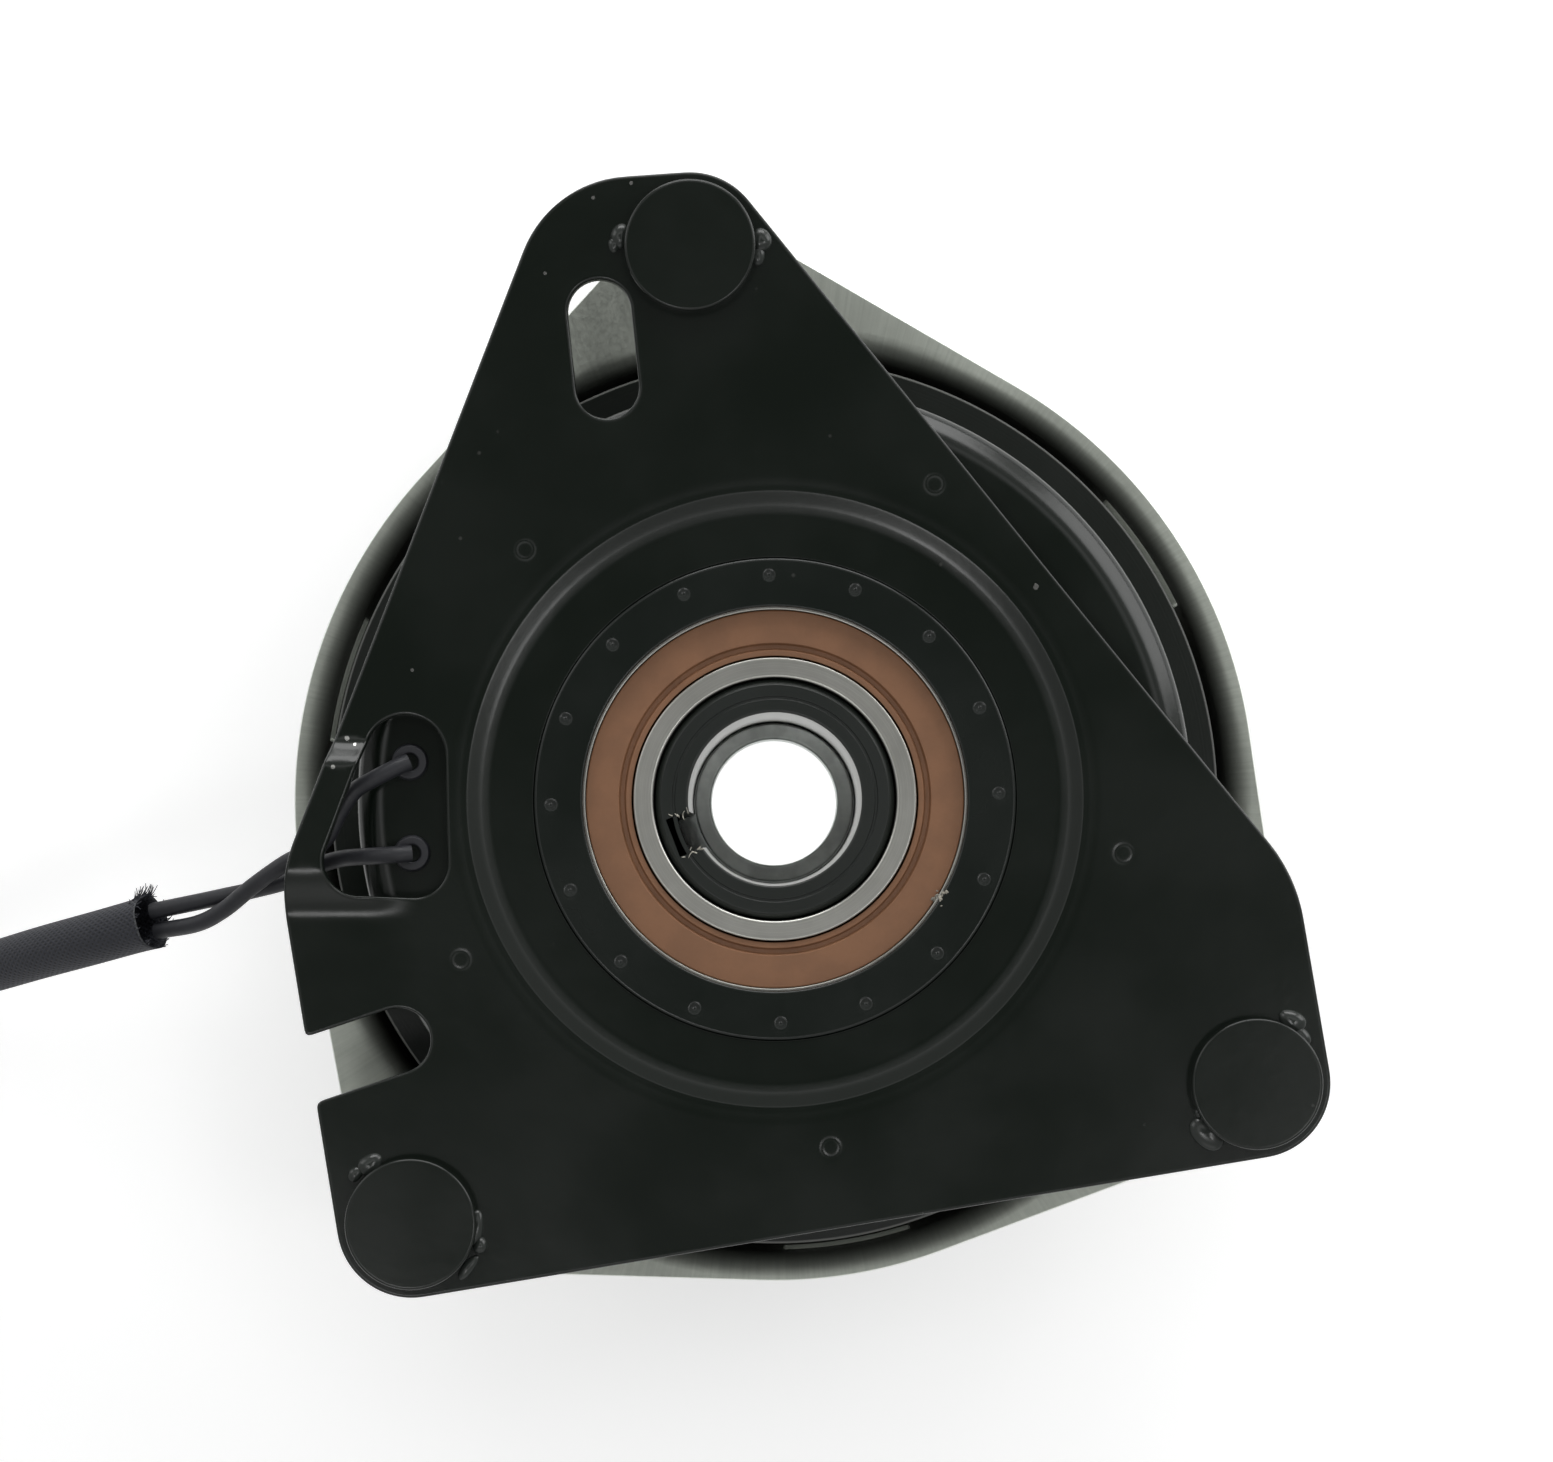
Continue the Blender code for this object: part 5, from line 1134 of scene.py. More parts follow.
def solid_of_turning(name, corners, look, body, nodes=(), angles=48, about=(0.0, 0.0)):
    """An open profile from pole to pole, spun round its axis, with a fan of triangles at each pole."""
    profile = rounded(corners, closed=False)
    grid = spun(profile[1:-1], angles, about)
    rows, columns = grid.shape[:2]
    poles = np.array([[*about, profile[0, 1]], [*about, profile[-1, 1]]]) + SHAFT
    points = np.concatenate([grid.reshape(-1, 3), poles])
    blocks = [grid_faces(rows, columns, close_rows=False)] + pole_fans(rows, columns)
    return piece(name, points, blocks, look, body, nodes)


# %% Springs' bosses, leaves and rivets
LEAF_LOW = node_bottom("leaf_spring_1")
LEAF_THICK, RIVET_HEAD = 0.8 * MM, 1.4 * MM
LEAF_HIGH = node_top("leaf_spring_1") - LEAF_THICK
LEAF_HALF = RIVET_RING_R * np.sin(np.radians(30.0))
leaf_outline = resampled(hull_of_circles([(-LEAF_HALF, 0, 6 * MM), (LEAF_HALF, 0, 6 * MM)]), 0.7 * MM)
leaf_grid = hex_grid((-0.031, -0.006), (0.031, 0.006), 1.6 * MM)


def leaf_rise(xy):
    """Flat under each rivet and an even slope between."""
    knee = LEAF_HALF - 7.5 * MM
    return (LEAF_HIGH - LEAF_LOW) * step((xy[:, 0] + knee) / (2 * knee))


for i, start in enumerate(LEAF_TURNS):
    boss_at, armature_at = polar(RIVET_RING_R, start), polar(RIVET_RING_R, start + 60)
    boss_top = LEAF_LOW - 0.3 * MM
    boss = corners_mm([(0, 12 * MM, 0), (6, 12 * MM, 0.3), (6, boss_top, 0.5), (0, boss_top, 0)])
    solid_of_turning(f"pulley_boss_{i + 1}", boss, PULLEY_PAINT, "pulley", about=boss_at)
    hole_edge = stamped_edge(LEAF_THICK, 0.1 * MM)
    holes = [(ring(2.8 * MM, (x, 0), 24), hole_edge) for x in (-LEAF_HALF, LEAF_HALF)]
    leaf_edge = stamped_edge(LEAF_THICK, 0.15 * MM)
    points, blocks, _ = sheet_mesh(
        (leaf_outline, leaf_edge), holes, LEAF_LOW + LEAF_THICK, LEAF_THICK, leaf_rise, leaf_grid
    )
    middle = polar(RIVET_RING_R * np.cos(np.radians(30)), start + 30)
    x, y = swung(*(points - SHAFT)[:, :2].T, np.radians(start + 30 + 90))
    points = np.column_stack([middle[0] + x, middle[1] + y, points[:, 2]]) + SHAFT
    leaf = piece(f"spring_leaf_{i + 1}", points, blocks, SPRING_STEEL, None, [f"leaf_spring_{i + 1}"])
    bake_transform(leaf)
    for body, at in (("pulley", boss_at), ("armature", armature_at)):
        name = f"{body}_rivet_{i + 1}"
        low, high = node_bottom(name), node_top(name)
        rivet = corners_mm([
            (0, low, 0), (3.9, low, 0.9), (4.4, low + RIVET_HEAD, 0.2), (2.5, low + RIVET_HEAD, 0.1),
            (2.5, high - RIVET_HEAD, 0.1), (4.4, high - RIVET_HEAD, 0.2), (3.9, high, 0.9), (0, high, 0),
        ])
        solid_of_turning(f"{name}_headed", rivet, ZINC, body, [name], about=at)
print("leaf", round(1000 * (LEAF_HIGH - LEAF_LOW), 2), "mm of rise")

# %% [markdown]
# The brake plate is a drum drawn from one sheet. Its flange carries three ears for the studs, its
# wall surrounds the rotor, and its lip turns in below the armature, which rests on it when the
# clutch is off. The drum's whole section is the inner edge of the flange sheet, and three windows
# for a feeler gauge are cut through the wall afterwards.

# %% Brake plate
FLANGE_TOP = node_top("brake_plate")
LIP = node_bottom("brake_plate")
SHEET = 2.5 * MM
WALL_R, BEND_R, FOOT_R = 76.8 * MM, 4.2 * MM, 3.0 * MM
bend_at = WALL_R + BEND_R


def bow(centre, radius, start, end, count):
    turn = np.radians(np.linspace(start, end, count))
    return np.stack([centre[0] + radius * np.cos(turn), centre[1] + radius * np.sin(turn)], -1)


foot_centre = (WALL_R - FOOT_R, LIP + SHEET + FOOT_R)
bend_centre = (bend_at, FLANGE_TOP - BEND_R)
lip_edge_r = 66.0 * MM
drum_line = np.concatenate([
    [(bend_at + 0.1 * MM, FLANGE_TOP)],
    bow(bend_centre, BEND_R, 90, 180, 13),
    bow(foot_centre, FOOT_R, 0, -90, 9),
    [(lip_edge_r + 0.6 * MM, LIP + SHEET)],
    bow((lip_edge_r + 0.3 * MM, LIP + SHEET - 0.3 * MM), 0.3 * MM, 90, 180, 4),
    bow((lip_edge_r + 0.3 * MM, LIP + 0.3 * MM), 0.3 * MM, 180, 270, 4),
    [(lip_edge_r + 0.6 * MM, LIP)],
    bow(foot_centre, FOOT_R + SHEET, -90, 0, 11),
    bow(bend_centre, BEND_R - SHEET, 180, 90, 9),
    [(bend_at + 0.1 * MM, FLANGE_TOP - SHEET)],
]) - [bend_at, FLANGE_TOP]
brake_circles = [(0, 0, 81.6 * MM)] + [(*at, 10.3 * MM) for at in studs.values()]
brake_outline = resampled(hull_of_circles(brake_circles), 0.9 * MM)
ear_holes = [(ring(4.6 * MM, at, 40), stamped_edge(SHEET, 0.2 * MM)) for at in studs.values()]
points, blocks, marks = sheet_mesh(
    (brake_outline, stamped_edge(SHEET, 0.25 * MM, support=0.05 * MM)),
    [(ring(bend_at, count=300), drum_line)] + ear_holes, FLANGE_TOP, SHEET,
)
away = np.hypot(*(points - SHAFT)[:, :2].T)
# Painted highlight: the flange's cut edges and ear holes are marked, and there the brake steel turns nearly
# white.
rim_highlight_mark = marks * (away > bend_at + 0.12 * MM)
BRAKE_STEEL = drawn_steel("brake_steel", "drawn_steel", (0.49, 0.52, 0.465), 0.46, 170.0)
brake = piece(
    "brake_drum", points, blocks, BRAKE_STEEL, "brake", ["brake_plate"], values={"edge": rim_highlight_mark}, sharp=50
)

# %% Gauge windows
window_turns = sorted(angle % 360 for angle in STUD_ANGLES.values())
window_turns = [(a + b) / 2 for a, b in zip(window_turns, window_turns[1:] + [window_turns[0] + 360])]
window_middle = (ARMATURE_TOP + FACE) / 2


def rounded_rectangle(width, height, radius):
    x, y = width / 2 - radius, height / 2 - radius
    return hull_of_circles([(x, y, radius), (-x, y, radius), (-x, -y, radius), (x, -y, radius)], 48)


def prism_points(loop, near, far, turn):
    """A loop of (across, up) carried out along a direction, from a near to a far distance."""
    out, across = np.array([np.cos(turn), np.sin(turn), 0.0]), np.array([-np.sin(turn), np.cos(turn), 0.0])
    flat = loop[:, :1] * across + loop[:, 1:] * np.array([0.0, 0.0, 1.0])
    grid = np.stack([flat + out * near, flat + out * far])
    count = len(loop)
    caps = [np.arange(count)[None, ::-1], count + np.arange(count)[None]]
    return grid.reshape(-1, 3), [grid_faces(2, count, close_rows=False)] + caps


def cut_away(obj, tools, sharp):
    """The object's mesh less each tool's, worked out once and kept as plain faces."""
    for k, (points, blocks) in enumerate(tools):
        tool_mesh = mesh_of("tool", points, facing_out(points, blocks))
        tool = bpy.data.objects.new(f"{obj.name}_tool_{k}", tool_mesh)
        bpy.context.scene.collection.objects.link(tool)
        cut = obj.modifiers.new("cut", "BOOLEAN")
        cut.operation, cut.solver, cut.object = "DIFFERENCE", "EXACT", tool
    result = bpy.data.meshes.new_from_object(obj.evaluated_get(bpy.context.evaluated_depsgraph_get()))
    obj.modifiers.clear()
    obj.data = result
    result.shade_smooth()
    result.set_sharp_from_angle(angle=np.radians(sharp))
    for k in range(len(tools)):
        bpy.data.objects.remove(bpy.data.objects[f"{obj.name}_tool_{k}"], do_unlink=True)


window = rounded_rectangle(22 * MM, 8 * MM, 0.8 * MM)
tools = []
for turn in np.radians(window_turns):
    points, blocks = prism_points(window, 75 * MM, 82 * MM, turn)
    tools.append((points + SHAFT + [0, 0, window_middle], blocks))
cut_away(brake, tools, 45)
print("brake faces", len(brake.data.polygons))

# %% [markdown]
# Each stud has a wide flat head, tacked to the plate with two small weld beads and painted over.
# Below the plate a spring presses the brake drum down, and a washer and a locking nut hold it.

# %% Studs and weld beads
HEAD_TOP = node_top("stud_top")
for side, at in studs.items():
    foot = node_bottom(f"stud_{side}")
    stud = corners_mm([
        (0, foot, 0), (3.3, foot, 0.2), (4.0, foot + 0.8 * MM, 0.3), (4.0, PLATE_TOP, 0.1),
        (10.75, PLATE_TOP, 0.15), (10.75, HEAD_TOP, 0.45), (0, HEAD_TOP, 0),
    ])
    solid_of_turning(f"{side}_stud", stud, PLATE_PAINT, "field", [f"stud_{side}"], 96, at)

# Each bead's lobes: place, length along the head's edge, width and height, in millimetres
BEADS = {
    "top_1": [((-25.4, 92.3), 4.2, 3.0, 1.5), ((-26.4, 90.8), 2.6, 2.0, 1.0)],
    "top_2": [((-2.2, 91.6), 4.0, 3.4, 1.6), ((-2.8, 89.0), 3.2, 2.4, 1.1)],
    "right_1": [((84.9, -36.4), 5.0, 3.6, 1.8), ((86.3, -38.9), 3.8, 2.8, 1.5)],
    "right_2": [((70.9, -54.8), 6.6, 5.0, 1.7), ((69.4, -51.6), 1.8, 1.4, 1.1)],
    "left_1": [((-66.4, -59.9), 4.6, 3.4, 1.6), ((-68.8, -61.5), 3.0, 2.2, 1.1)],
    "left_2": [
        ((-48.9, -70.4), 6.4, 2.2, 1.3), ((-48.3, -73.2), 3.0, 2.4, 1.6), ((-50.3, -76.8), 5.0, 2.0, 1.1),
    ],
}
BEAD_PAINT = black_paint("bead_paint", roughness=0.20, tint=(0.022, 0.026, 0.023))


def lobe(at, length, width, rise, turn, shift):
    """An ellipsoid whose radius swells and sinks a little with its two angles."""
    lat, lon = np.meshgrid(
        np.linspace(-np.pi / 2, np.pi / 2, 19)[1:-1],
        np.linspace(0, 2 * np.pi, 32, endpoint=False),
        indexing="ij",
    )
    swell = 1 + 0.04 * np.sin(3 * lon + shift) * np.cos(lat)
    x, y = length / 2 * np.cos(lat) * np.cos(lon) * swell, width / 2 * np.cos(lat) * np.sin(lon) * swell
    z = 0.8 * rise * np.sin(lat) * swell
    grid = np.stack([*swung(x, y, turn), z], -1)
    poles = np.array([[0, 0, z[0].mean() - 0.03], [0, 0, z[-1].mean() + 0.03]])
    rows, columns = lat.shape
    points = np.concatenate([grid.reshape(-1, 3), poles]) * MM + SHAFT + [at[0], at[1], PLATE_TOP]
    return points, [grid_faces(rows, columns, close_rows=False)] + pole_fans(rows, columns)


for k, (name, lobes) in enumerate(BEADS.items()):
    stud_at = studs[name.split("_")[0]]
    parts = []
    for j, (at, length, width, rise) in enumerate(lobes):
        at = np.array(at) * MM
        turn = np.arctan2(*(at - stud_at)[::-1]) + np.pi / 2
        parts.append(lobe(at, length, width, rise, turn, k + 2 * j))
    points, blocks = joined(parts)
    piece(f"weld_bead_{name}", points, blocks, BEAD_PAINT, "field")
print("beads", len(BEADS))

# %% [markdown]
# Two small things show that the clutch was handled: the broach has left ragged slivers of bare
# steel along the keyway's mouth, and a few pale crumbs stick to the seal beside the housing's lip.

# %% Slivers and crumbs
rng = np.random.default_rng(11)
slivers = []
for k in range(15):
    sign = 1 if k < 9 else -1
    turn = KEY_TURN + sign * np.arctan2(KEY_HALF, 15.6 * MM) + rng.normal(0, 0.012)
    mouth_at = polar(rng.uniform(14.4, 17.6) * MM, np.degrees(turn))
    root = np.array([*mouth_at, BEARING_TOP - 0.02 * MM]) + SHAFT
    way = np.array([*polar(1.0, rng.uniform(0, 360)), rng.uniform(0.1, 0.5)])
    t = np.linspace(0, 1, 5)[:, None]
    bend = np.cross(way, [0, 0, 1]) * rng.uniform(-0.5, 0.5)
    sliver = root + rng.uniform(0.5, 1.3) * MM * (way * t + bend * t**2)
    slivers.append(tube_mesh(sliver, np.linspace(0.13, 0.05, 5) * MM, 6))
points, blocks = joined(slivers)
piece("keyway_slivers", points, blocks, ZINC, "rotor")
crumbs = []
for k in range(22):
    at = polar(rng.normal(31.3, 0.45) * MM, -31.5 + rng.normal(0, 1.5))
    size = rng.uniform(0.25, 0.55)
    points, blocks = lobe(at, 1.5 * size, size, 0.4 * size, rng.uniform(0, np.pi), k)
    level = LIP_TOP if np.hypot(*at) > 31.5 * MM else BEARING_TOP - 0.25 * MM
    points[:, 2] += level + 0.2 * size * MM - PLATE_TOP
    crumbs.append((points, blocks))
points, blocks = joined(crumbs)
CRUMB = plain_grain("pale_crumb", "black_paint", (0.34, 0.32, 0.27), 0.8, 0.0, 2500.0, 0.6, 0.5)
piece("seal_crumbs", points, blocks, CRUMB, "field")

# %% Springs, washers and nuts
PLATE_BOTTOM = PLATE_TOP - PLATE_THICK
WIRE_R, COIL_R, TURNS = 0.9 * MM, 6.4 * MM, 5.0


def coil_path(low, high):
    """A helix whose first and last three quarter turns lie close, as a ground spring's do."""
    turn = np.linspace(0, TURNS, 240)
    dead, close = 0.75, 2 * WIRE_R + 0.1 * MM
    share = np.clip((turn - dead) / (TURNS - 2 * dead), 0, 1)
    rise = np.minimum(turn, dead) / dead * close + np.maximum(0, turn - TURNS + dead) / dead * close
    z = low + WIRE_R + rise + share * (high - low - 2 * WIRE_R - 2 * close)
    return np.stack([COIL_R * np.cos(2 * np.pi * turn), COIL_R * np.sin(2 * np.pi * turn), z], -1)


def hexed(grid, at, low, high):
    """The distance to a hexagon's sides, cut down by a cone towards each end."""
    flat = grid - SHAFT - [*at, 0]
    turn = np.arctan2(flat[..., 1], flat[..., 0])
    side = 6.5 * MM / np.cos((turn + np.pi / 6) % (np.pi / 3) - np.pi / 6)
    depth = np.minimum(flat[..., 2] - low, high - flat[..., 2])
    cone = 6.7 * MM + 1.75 * np.maximum(depth, 0)
    radius = np.hypot(flat[..., 0], flat[..., 1])
    outer = radius > 6.0 * MM
    wanted = np.where(outer, np.minimum(side, cone), radius)
    return grid + (wanted / radius - 1)[..., None] * flat * [1, 1, 0]


for side, at in studs.items():
    path = coil_path(FLANGE_TOP + 0.1 * MM, PLATE_BOTTOM - 0.1 * MM) + SHAFT + [*at, 0]
    points, blocks = tube_mesh(path, WIRE_R, 14)
    spring = piece(
        f"{side}_brake_spring", points, blocks, SPRING_STEEL, None, [f"brake_spring_{side}"], sharp=60
    )
    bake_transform(spring)
    low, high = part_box(f"brake_washer_{side}")
    washer = corners_mm([(4.3, low.z, 0.2), (8, low.z, 0.3), (8, high.z, 0.3), (4.3, high.z, 0.2)])
    turned_piece(f"{side}_washer", washer, ZINC, "brake", [f"brake_washer_{side}"], 72, at)
    top = node_top(f"brake_nut_{side}")
    low = node_bottom(f"brake_nut_{side}")
    hex_low = top - 6 * MM
    rows = [(4.15 * MM, low, 0.3 * MM), (5.3 * MM, low, 0.5 * MM), (5.6 * MM, hex_low, 0.2 * MM)]
    rows += [(7.5 * MM, hex_low + z * MM, 0.02 * MM) for z in (0.0, 0.15, 0.3, 0.5, 5.5, 5.7, 5.85, 6.0)]
    rows.append((4.15 * MM, top, 0.3 * MM))
    profile = np.array(rows)[:, :2]
    grid = hexed(spun(profile, np.linspace(0, 2 * np.pi, 120, endpoint=False), at), at, hex_low, top)
    piece(f"{side}_nut", grid, [grid_faces(*grid.shape[:2])], ZINC, "brake", [f"brake_nut_{side}"], sharp=28)
print("springs", TURNS, "turns")

# %% [markdown]
# Two leads leave the shell through grommets, pass under the plate's raised strip and run into a
# braided sleeve. The sleeve falls to the floor, lies there in one curve, and ends in a two-pole
# connector beside the clutch. Each route is a short list of points with a smooth curve through it.

# %% Routes, in metres from the shaft
UPPER_LEAD_ROUTE = [
    (-0.0601, 0.0061, 0.0724), (-0.0625, 0.0050, 0.0729), (-0.0660, 0.0032, 0.0723),
    (-0.0690, 0.0014, 0.0714), (-0.0716, -0.0022, 0.0709), (-0.0738, -0.0064, 0.0708),
    (-0.0768, -0.0088, 0.0706), (-0.0804, -0.0104, 0.0700), (-0.0860, -0.0142, 0.0680),
    (-0.0912, -0.0182, 0.0652), (-0.0960, -0.0206, 0.0625), (-0.10324, -0.02190, 0.05827),
]
LOWER_LEAD_ROUTE = [
    (-0.0597, -0.0089, 0.0724), (-0.0620, -0.0091, 0.0728), (-0.0650, -0.0093, 0.0719),
    (-0.0685, -0.0095, 0.0700), (-0.0715, -0.0098, 0.0683), (-0.0750, -0.0108, 0.0671),
    (-0.0804, -0.0134, 0.0662), (-0.0860, -0.0149, 0.0646), (-0.0912, -0.0160, 0.0630),
    (-0.0965, -0.0171, 0.0611), (-0.10412, -0.01862, 0.05827),
]
SLEEVE_ROUTE = [
    (-0.1042, -0.0204, 0.0580), (-0.1142, -0.0231, 0.0527), (-0.1242, -0.0257, 0.0462),
    (-0.1340, -0.0284, 0.0388), (-0.1440, -0.0310, 0.0307), (-0.1540, -0.0336, 0.0226),
    (-0.1645, -0.0362, 0.0146), (-0.1770, -0.0386, 0.0080), (-0.1920, -0.0400, 0.0050),
    (-0.2112, -0.0366, 0.0050), (-0.2316, -0.0236, 0.0050), (-0.2446, -0.0032, 0.0050),
    (-0.2478, 0.0209, 0.0050), (-0.2405, 0.0440, 0.0050), (-0.2241, 0.0619, 0.0050),
    (-0.2060, 0.0705, 0.0050), (-0.1920, 0.0716, 0.0050),
]
LEAD_R, SLEEVE_R = 1.4 * MM, 4.65 * MM

# %% Connector
connector_low, connector_high = (np.array(corner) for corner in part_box("lead_connector"))
width, tall = 17.0 * MM, 11.0 * MM
socket_depth = 10 * MM
POLES_AT = (-3.8 * MM, 3.8 * MM)


def on_end(points, face_x):
    """A sheet made flat turns to face +X: its height becomes x, its x becomes y, its y becomes z."""
    flat = points - SHAFT
    centre_y = (connector_low[1] + connector_high[1]) / 2
    centre_z = (connector_low[2] + connector_high[2]) / 2
    return np.stack([face_x + flat[:, 2], centre_y + flat[:, 0], centre_z + flat[:, 1]], -1)


shell_loop = resampled(rounded_rectangle(width - 0.6 * MM, tall - 1.0 * MM, 1.6 * MM), 0.4 * MM)
sockets = [resampled(rounded_rectangle(5.8 * MM, 7.4 * MM, 0.8 * MM) + [x, 0], 0.4 * MM) for x in POLES_AT]
front, back = connector_high[0], connector_low[0]
nose_edge = stamped_edge(socket_depth, 0.3 * MM, 0.1 * MM, support=0.1 * MM)
socket_edge = stamped_edge(socket_depth, 0.2 * MM, 0.1 * MM, support=0.1 * MM)
nose = sheet_mesh((shell_loop, nose_edge), [(loop, socket_edge) for loop in sockets], 0, socket_depth)
block_length = front - back - socket_depth + 0.05 * MM
body = sheet_mesh((shell_loop, stamped_edge(block_length, 0.12 * MM, 1.2 * MM)), [], 0, block_length)
collar_loop = resampled(rounded_rectangle(width, tall, 2.0 * MM), 0.4 * MM)
collar = sheet_mesh((collar_loop, stamped_edge(2.2 * MM, 0.5 * MM)), [], 0, 2.2 * MM)
latch_loop = resampled(rounded_rectangle(5.0 * MM, 1.4 * MM, 0.4 * MM) + [0, tall / 2 - 0.7 * MM], 0.3 * MM)
latch = sheet_mesh((latch_loop, stamped_edge(5.5 * MM, 0.2 * MM, support=0.1 * MM)), [], 0, 5.5 * MM)
parts = [
    (on_end(nose[0], front), nose[1]),
    (on_end(body[0], front - socket_depth + 0.05 * MM), body[1]),
    (on_end(collar[0], back + 5.5 * MM), collar[1]),
    (on_end(latch[0], front - 3 * MM), latch[1]),
]
pin_loops = [resampled(rounded_rectangle(0.8 * MM, 5.2 * MM, 0.3 * MM) + [x, 0], 0.2 * MM) for x in POLES_AT]
pin_edge = stamped_edge(8 * MM, 0.12 * MM, support=0.05 * MM)
pins = [sheet_mesh((loop, pin_edge), [], 0, 8 * MM) for loop in pin_loops]
points, blocks = joined(parts)
connector = piece(
    "two_pole_connector", points, blocks, CONNECTOR_PLASTIC, "field", ["lead_connector"], sharp=40
)
points, blocks = joined([(on_end(p[0], front - 2.5 * MM), p[1]) for p in pins])
contacts = piece("connector_contacts", points, blocks, ZINC, "field")
print("connector", [round(float(v), 4) for v in connector_high - connector_low])

# %% Leads
for side, route in (("upper", UPPER_LEAD_ROUTE), ("lower", LOWER_LEAD_ROUTE)):
    path = smooth_path(route, 0.6 * MM) + SHAFT
    points, blocks = tube_mesh(path, LEAD_R, 24)
    lead = piece(f"{side}_lead", points, blocks, LEAD_RUBBER, "field", [f"lead_{side}"], sharp=60)
    print(side, "lead", round(length_of(path), 4))

for side, sign in (("left", 1), ("right", -1)):
    start = np.array(SLEEVE_ROUTE[-1]) + [0, sign * 1.7 * MM, 0]
    path = start + SHAFT + np.linspace(-3 * MM, 14.9 * MM, 30)[:, None] * np.array([1.0, 0, 0])
    points, blocks = tube_mesh(path, LEAD_R, 24)
    replaced = [f"connector_lead_{side}"]
    piece(f"{side}_tail", points, blocks, LEAD_RUBBER, "field", replaced, sharp=60)

# %% [markdown]
# The sleeve is a woven tube. At its mouth the cut filaments spread a little and fray, so the tube
# opens out there, has an inner wall, and a fringe of short bent hairs stands round its edge.

# %% Sleeve
SLEEVE_WALL = 0.45 * MM
path = smooth_path(SLEEVE_ROUTE, 1.0 * MM) + SHAFT
along, side, up = frames_along(path)
around = 48
length = np.concatenate([[0], np.cumsum(np.linalg.norm(np.diff(path, axis=0), axis=1))])
turn = np.linspace(0, 2 * np.pi, around, endpoint=False)
spread = 1 + 0.05 * np.exp(-length / (3 * MM)) + 0.012 * np.sin(length / (9 * MM))
wave = 0.03 * np.sin(5 * turn)[None] * np.exp(-length / (4 * MM))[:, None]
radius = SLEEVE_R * 0.94 * (spread[:, None] + wave)
offset = side[:, None] * np.cos(turn)[None, :, None] + up[:, None] * np.sin(turn)[None, :, None]
outer = path[:, None] + offset * radius[..., None]
inner = path[:, None] + offset * (radius - SLEEVE_WALL)[..., None]
deep = 14
grid = np.concatenate([inner[deep:0:-1], outer, inner[-1:-6:-1]])
v = np.concatenate([-length[deep:0:-1], length, length[-1] + 0.004 * np.arange(5)])
STRANDS = 14
uv = np.stack([np.tile(turn / (2 * np.pi) * STRANDS, len(grid)), np.repeat(v, around)], -1)
rows = len(grid)
caps = [np.arange(around)[None, ::-1], (rows - 1) * around + np.arange(around)[None]]
sleeve = piece(
    "sleeve_braid", grid, [grid_faces(rows, around, close_rows=False)] + caps, BRAIDED,
    "field", ["braided_sleeve"], uv=uv, uv_turn=STRANDS,
)
print("sleeve", round(length_of(path), 4), "m")

# %% Frayed mouth
rng = np.random.default_rng(7)
hairs, mouth = [], path[0]
tuft_at = np.arctan2(up[0, 1], side[0, 1])
for k in range(64):
    tuft = k >= 34
    a = tuft_at + rng.normal(0, 0.28) if tuft else rng.uniform(0, 2 * np.pi)
    out = side[0] * np.cos(a) + up[0] * np.sin(a)
    root = mouth + out * SLEEVE_R * 0.96 + along[0] * (rng.uniform(0.2, 2.6) if tuft else 0.6) * MM
    reach, lean = rng.uniform(0.8, 2.2) * MM, rng.uniform(1.2, 2.4) if tuft else rng.uniform(-0.2, 0.7)
    t = np.linspace(0, 1, 6)[:, None]
    across = np.cross(out, along[0]) * rng.uniform(-0.8, 0.8)
    hair = root - along[0] * reach * t + out * reach * lean * t**2 * 0.5 + across * reach * t**2
    hairs.append(tube_mesh(hair, np.linspace(0.11, 0.06, 6) * MM, 6))
points, blocks = joined(hairs)
piece("sleeve_fray", points, blocks, BRAIDED, "field", uv=np.full((len(points), 2), 0.01))

# %% Grommets
for side, angle in (("upper", 174.2), ("lower", 188.5)):
    at = polar(60.4 * MM, angle)
    foot, top = node_bottom(f"lead_grommet_{side}"), node_top(f"lead_grommet_{side}")
    step_at = SHELL_TOP + 0.05 * MM
    grommet = corners_mm([
        (1.42, foot, 0.1), (2.4, foot, 0.2), (2.4, step_at, 0.1), (3.1, step_at, 0.15), (2.75, top, 0.35),
        (1.42, top, 0.3),
    ])
    turned_piece(f"{side}_grommet", grommet, LEAD_RUBBER, "field", [f"lead_grommet_{side}"], 48, at)

# %% [markdown]
# A few pieces are hidden when the clutch is whole: the winding, its resin, the friction ring and
# the balls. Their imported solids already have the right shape, so they only take a finish.

# %% Hidden pieces
for node, look in (
    ("field_coil", COPPER), ("coil_potting", RESIN), ("friction_ring", LINING),
    ("field_bearing_balls", RING_STEEL), ("pulley_bearing_balls", RING_STEEL),
):
    obj = frame["nodes"][node]
    obj.data.materials.clear()
    obj.data.materials.append(look)

# %% [markdown]
# The floor is plain and white. To the camera, and in mirrors, it glows a little, so that it stays
# white beside the clutch and keeps a soft shadow under it. It doesn't glow round the bore, where
# the keyway is dark, but the patch that shows through the bore is as bright as the open floor. Far
# out the floor and the sky are white to the camera. For the object the sky is dark right above,
# brightest in a band twenty degrees from the zenith, and dimmer towards the horizon. So the flat
# plate mirrors the dark and stays black, while every bend and rounded corner picks up the band or
# one of the lamps.

# %% Floor
FLOOR_GLOW = 0.38
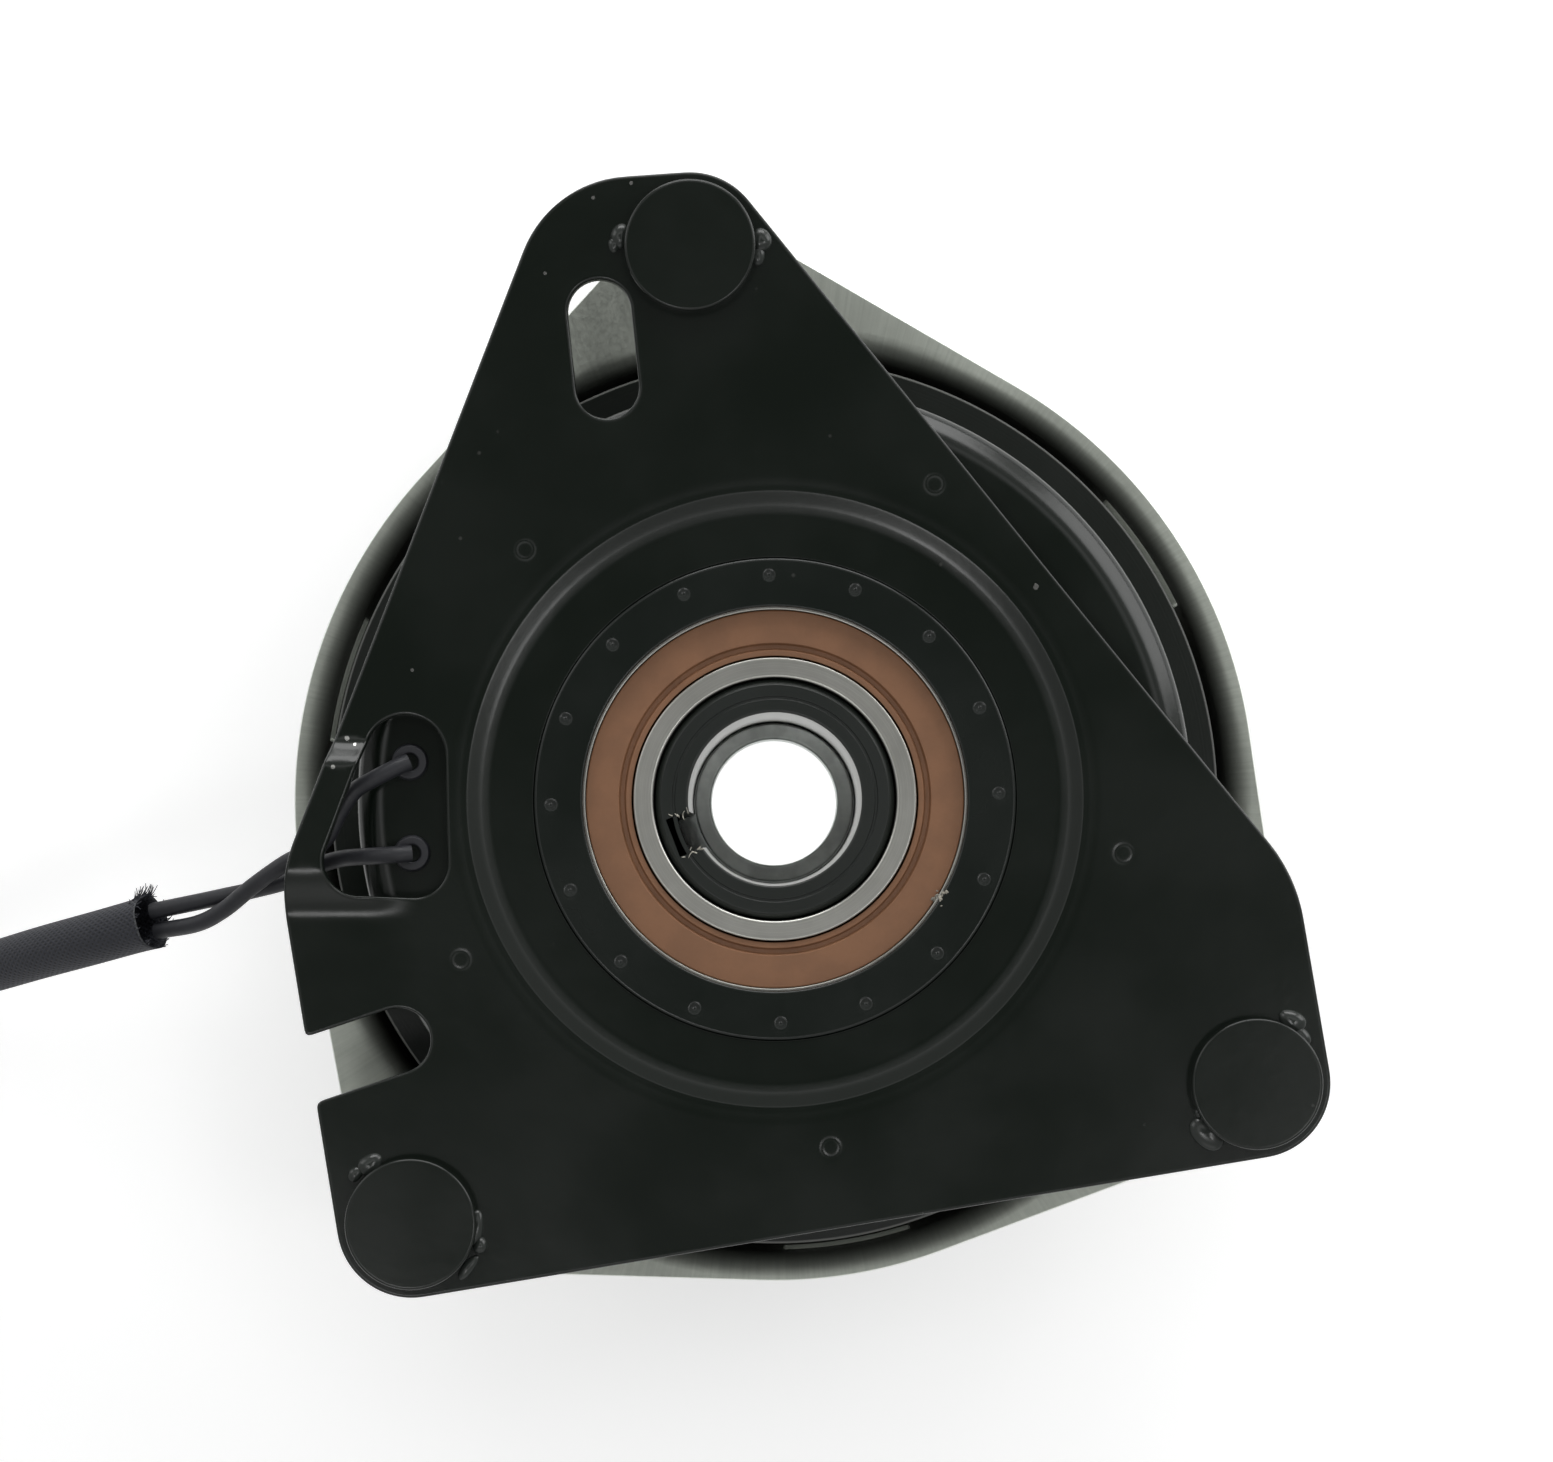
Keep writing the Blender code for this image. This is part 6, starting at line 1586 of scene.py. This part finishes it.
# Distances from the shaft over which the glow fades
BORE_PATCH, HUB_SHADE, FAR_FLOOR = (12.8 * MM, 12.2 * MM), (20 * MM, 26 * MM), (300 * MM, 600 * MM)


def floor_look():
    look, tree, shader = new_look("floor", "floor", (0.93, 0.93, 0.93), 0.9)
    shader.inputs["Specular IOR Level"].default_value = 0.0
    path = add(tree, "ShaderNodeLightPath").outputs
    mirrored = math(tree, "MAXIMUM", path["Is Glossy Ray"], path["Is Transmission Ray"])
    seen = math(tree, "MAXIMUM", path["Is Camera Ray"], mirrored)
    away = vector_math(tree, "LENGTH", vector_math(tree, "MULTIPLY", from_shaft(tree), (1.0, 1.0, 0.0)))
    glow = math(tree, "MULTIPLY", ramp(tree, away, *HUB_SHADE), FLOOR_GLOW)
    glow = math(tree, "MAXIMUM", ramp(tree, away, *BORE_PATCH), glow)
    far = math(tree, "MULTIPLY", path["Is Camera Ray"], ramp(tree, away, *FAR_FLOOR))
    glow = math(tree, "MAXIMUM", math(tree, "MULTIPLY", seen, glow), far)
    tree.links.new(glow, shader.inputs["Emission Strength"])
    shader.inputs["Emission Color"].default_value = (1.0, 1.0, 1.0, 1.0)
    return look


floor_grid = np.array([[-4, -4, -0.0002], [4, -4, -0.0002], [4, 4, -0.0002], [-4, 4, -0.0002]])
floor = bpy.data.objects.new("floor", mesh_of("floor", floor_grid, [np.array([[0, 1, 2, 3]])]))
floor.data.materials.append(floor_look())
bpy.context.scene.collection.objects.link(floor)


# %% Lamps
def softbox(name, at, size, power, toward=(0.0, 0.0, 0.04)):
    """A rectangular lamp at a place, turned to face a point of the clutch."""
    lamp = bpy.data.lights.new(name, "AREA")
    lamp.shape = "RECTANGLE"
    lamp.size, lamp.size_y = size
    lamp.energy = power
    obj = bpy.data.objects.new(name, lamp)
    obj.location = at
    way = np.array(toward) - np.array(at)
    obj.rotation_euler = (np.arctan2(np.hypot(way[0], way[1]), -way[2]), 0.0, np.arctan2(-way[0], way[1]))
    bpy.context.scene.collection.objects.link(obj)


softbox("top_softbox", (0.05, 0.95, 0.42), (1.0, 0.45), 6.0)
softbox("left_softbox", (-0.80, 0.45, 0.50), (0.50, 0.60), 1.2)
softbox("right_softbox", (0.80, 0.50, 0.42), (0.60, 0.60), 3.2)
softbox("front_softbox", (0.0, -0.90, 0.55), (0.90, 0.40), 0.5)
softbox("accent_left", (-0.232, -0.385, 1.113), (0.20, 0.20), 0.65)
softbox("accent_right", (0.381, -0.238, 1.113), (0.20, 0.20), 0.60)

# %% Sky
world = bpy.data.worlds.new("studio")
world.use_nodes = True
sky = world.node_tree
direction = add(sky, "ShaderNodeTexCoord").outputs["Generated"]
rise = add(sky, "ShaderNodeSeparateXYZ", {0: direction}).outputs[2]
band = ramp(sky, rise, 0.975, 0.935, 0.03, 1.05)
tone = math(sky, "MULTIPLY", band, ramp(sky, rise, 0.92, 0.85, 1.0, 0.36))
tone = math(sky, "MAXIMUM", tone, add(sky, "ShaderNodeLightPath").outputs["Is Camera Ray"])
shade = add(sky, "ShaderNodeCombineColor", {0: tone, 1: tone, 2: tone}).outputs[0]
sky.links.new(shade, sky.nodes["Background"].inputs["Color"])
bpy.context.scene.world = world
bpy.context.scene.view_settings.view_transform = "Standard"

# %% Counts of pieces and faces
print("pieces", len(made), "faces", sum(count for _, count in made))
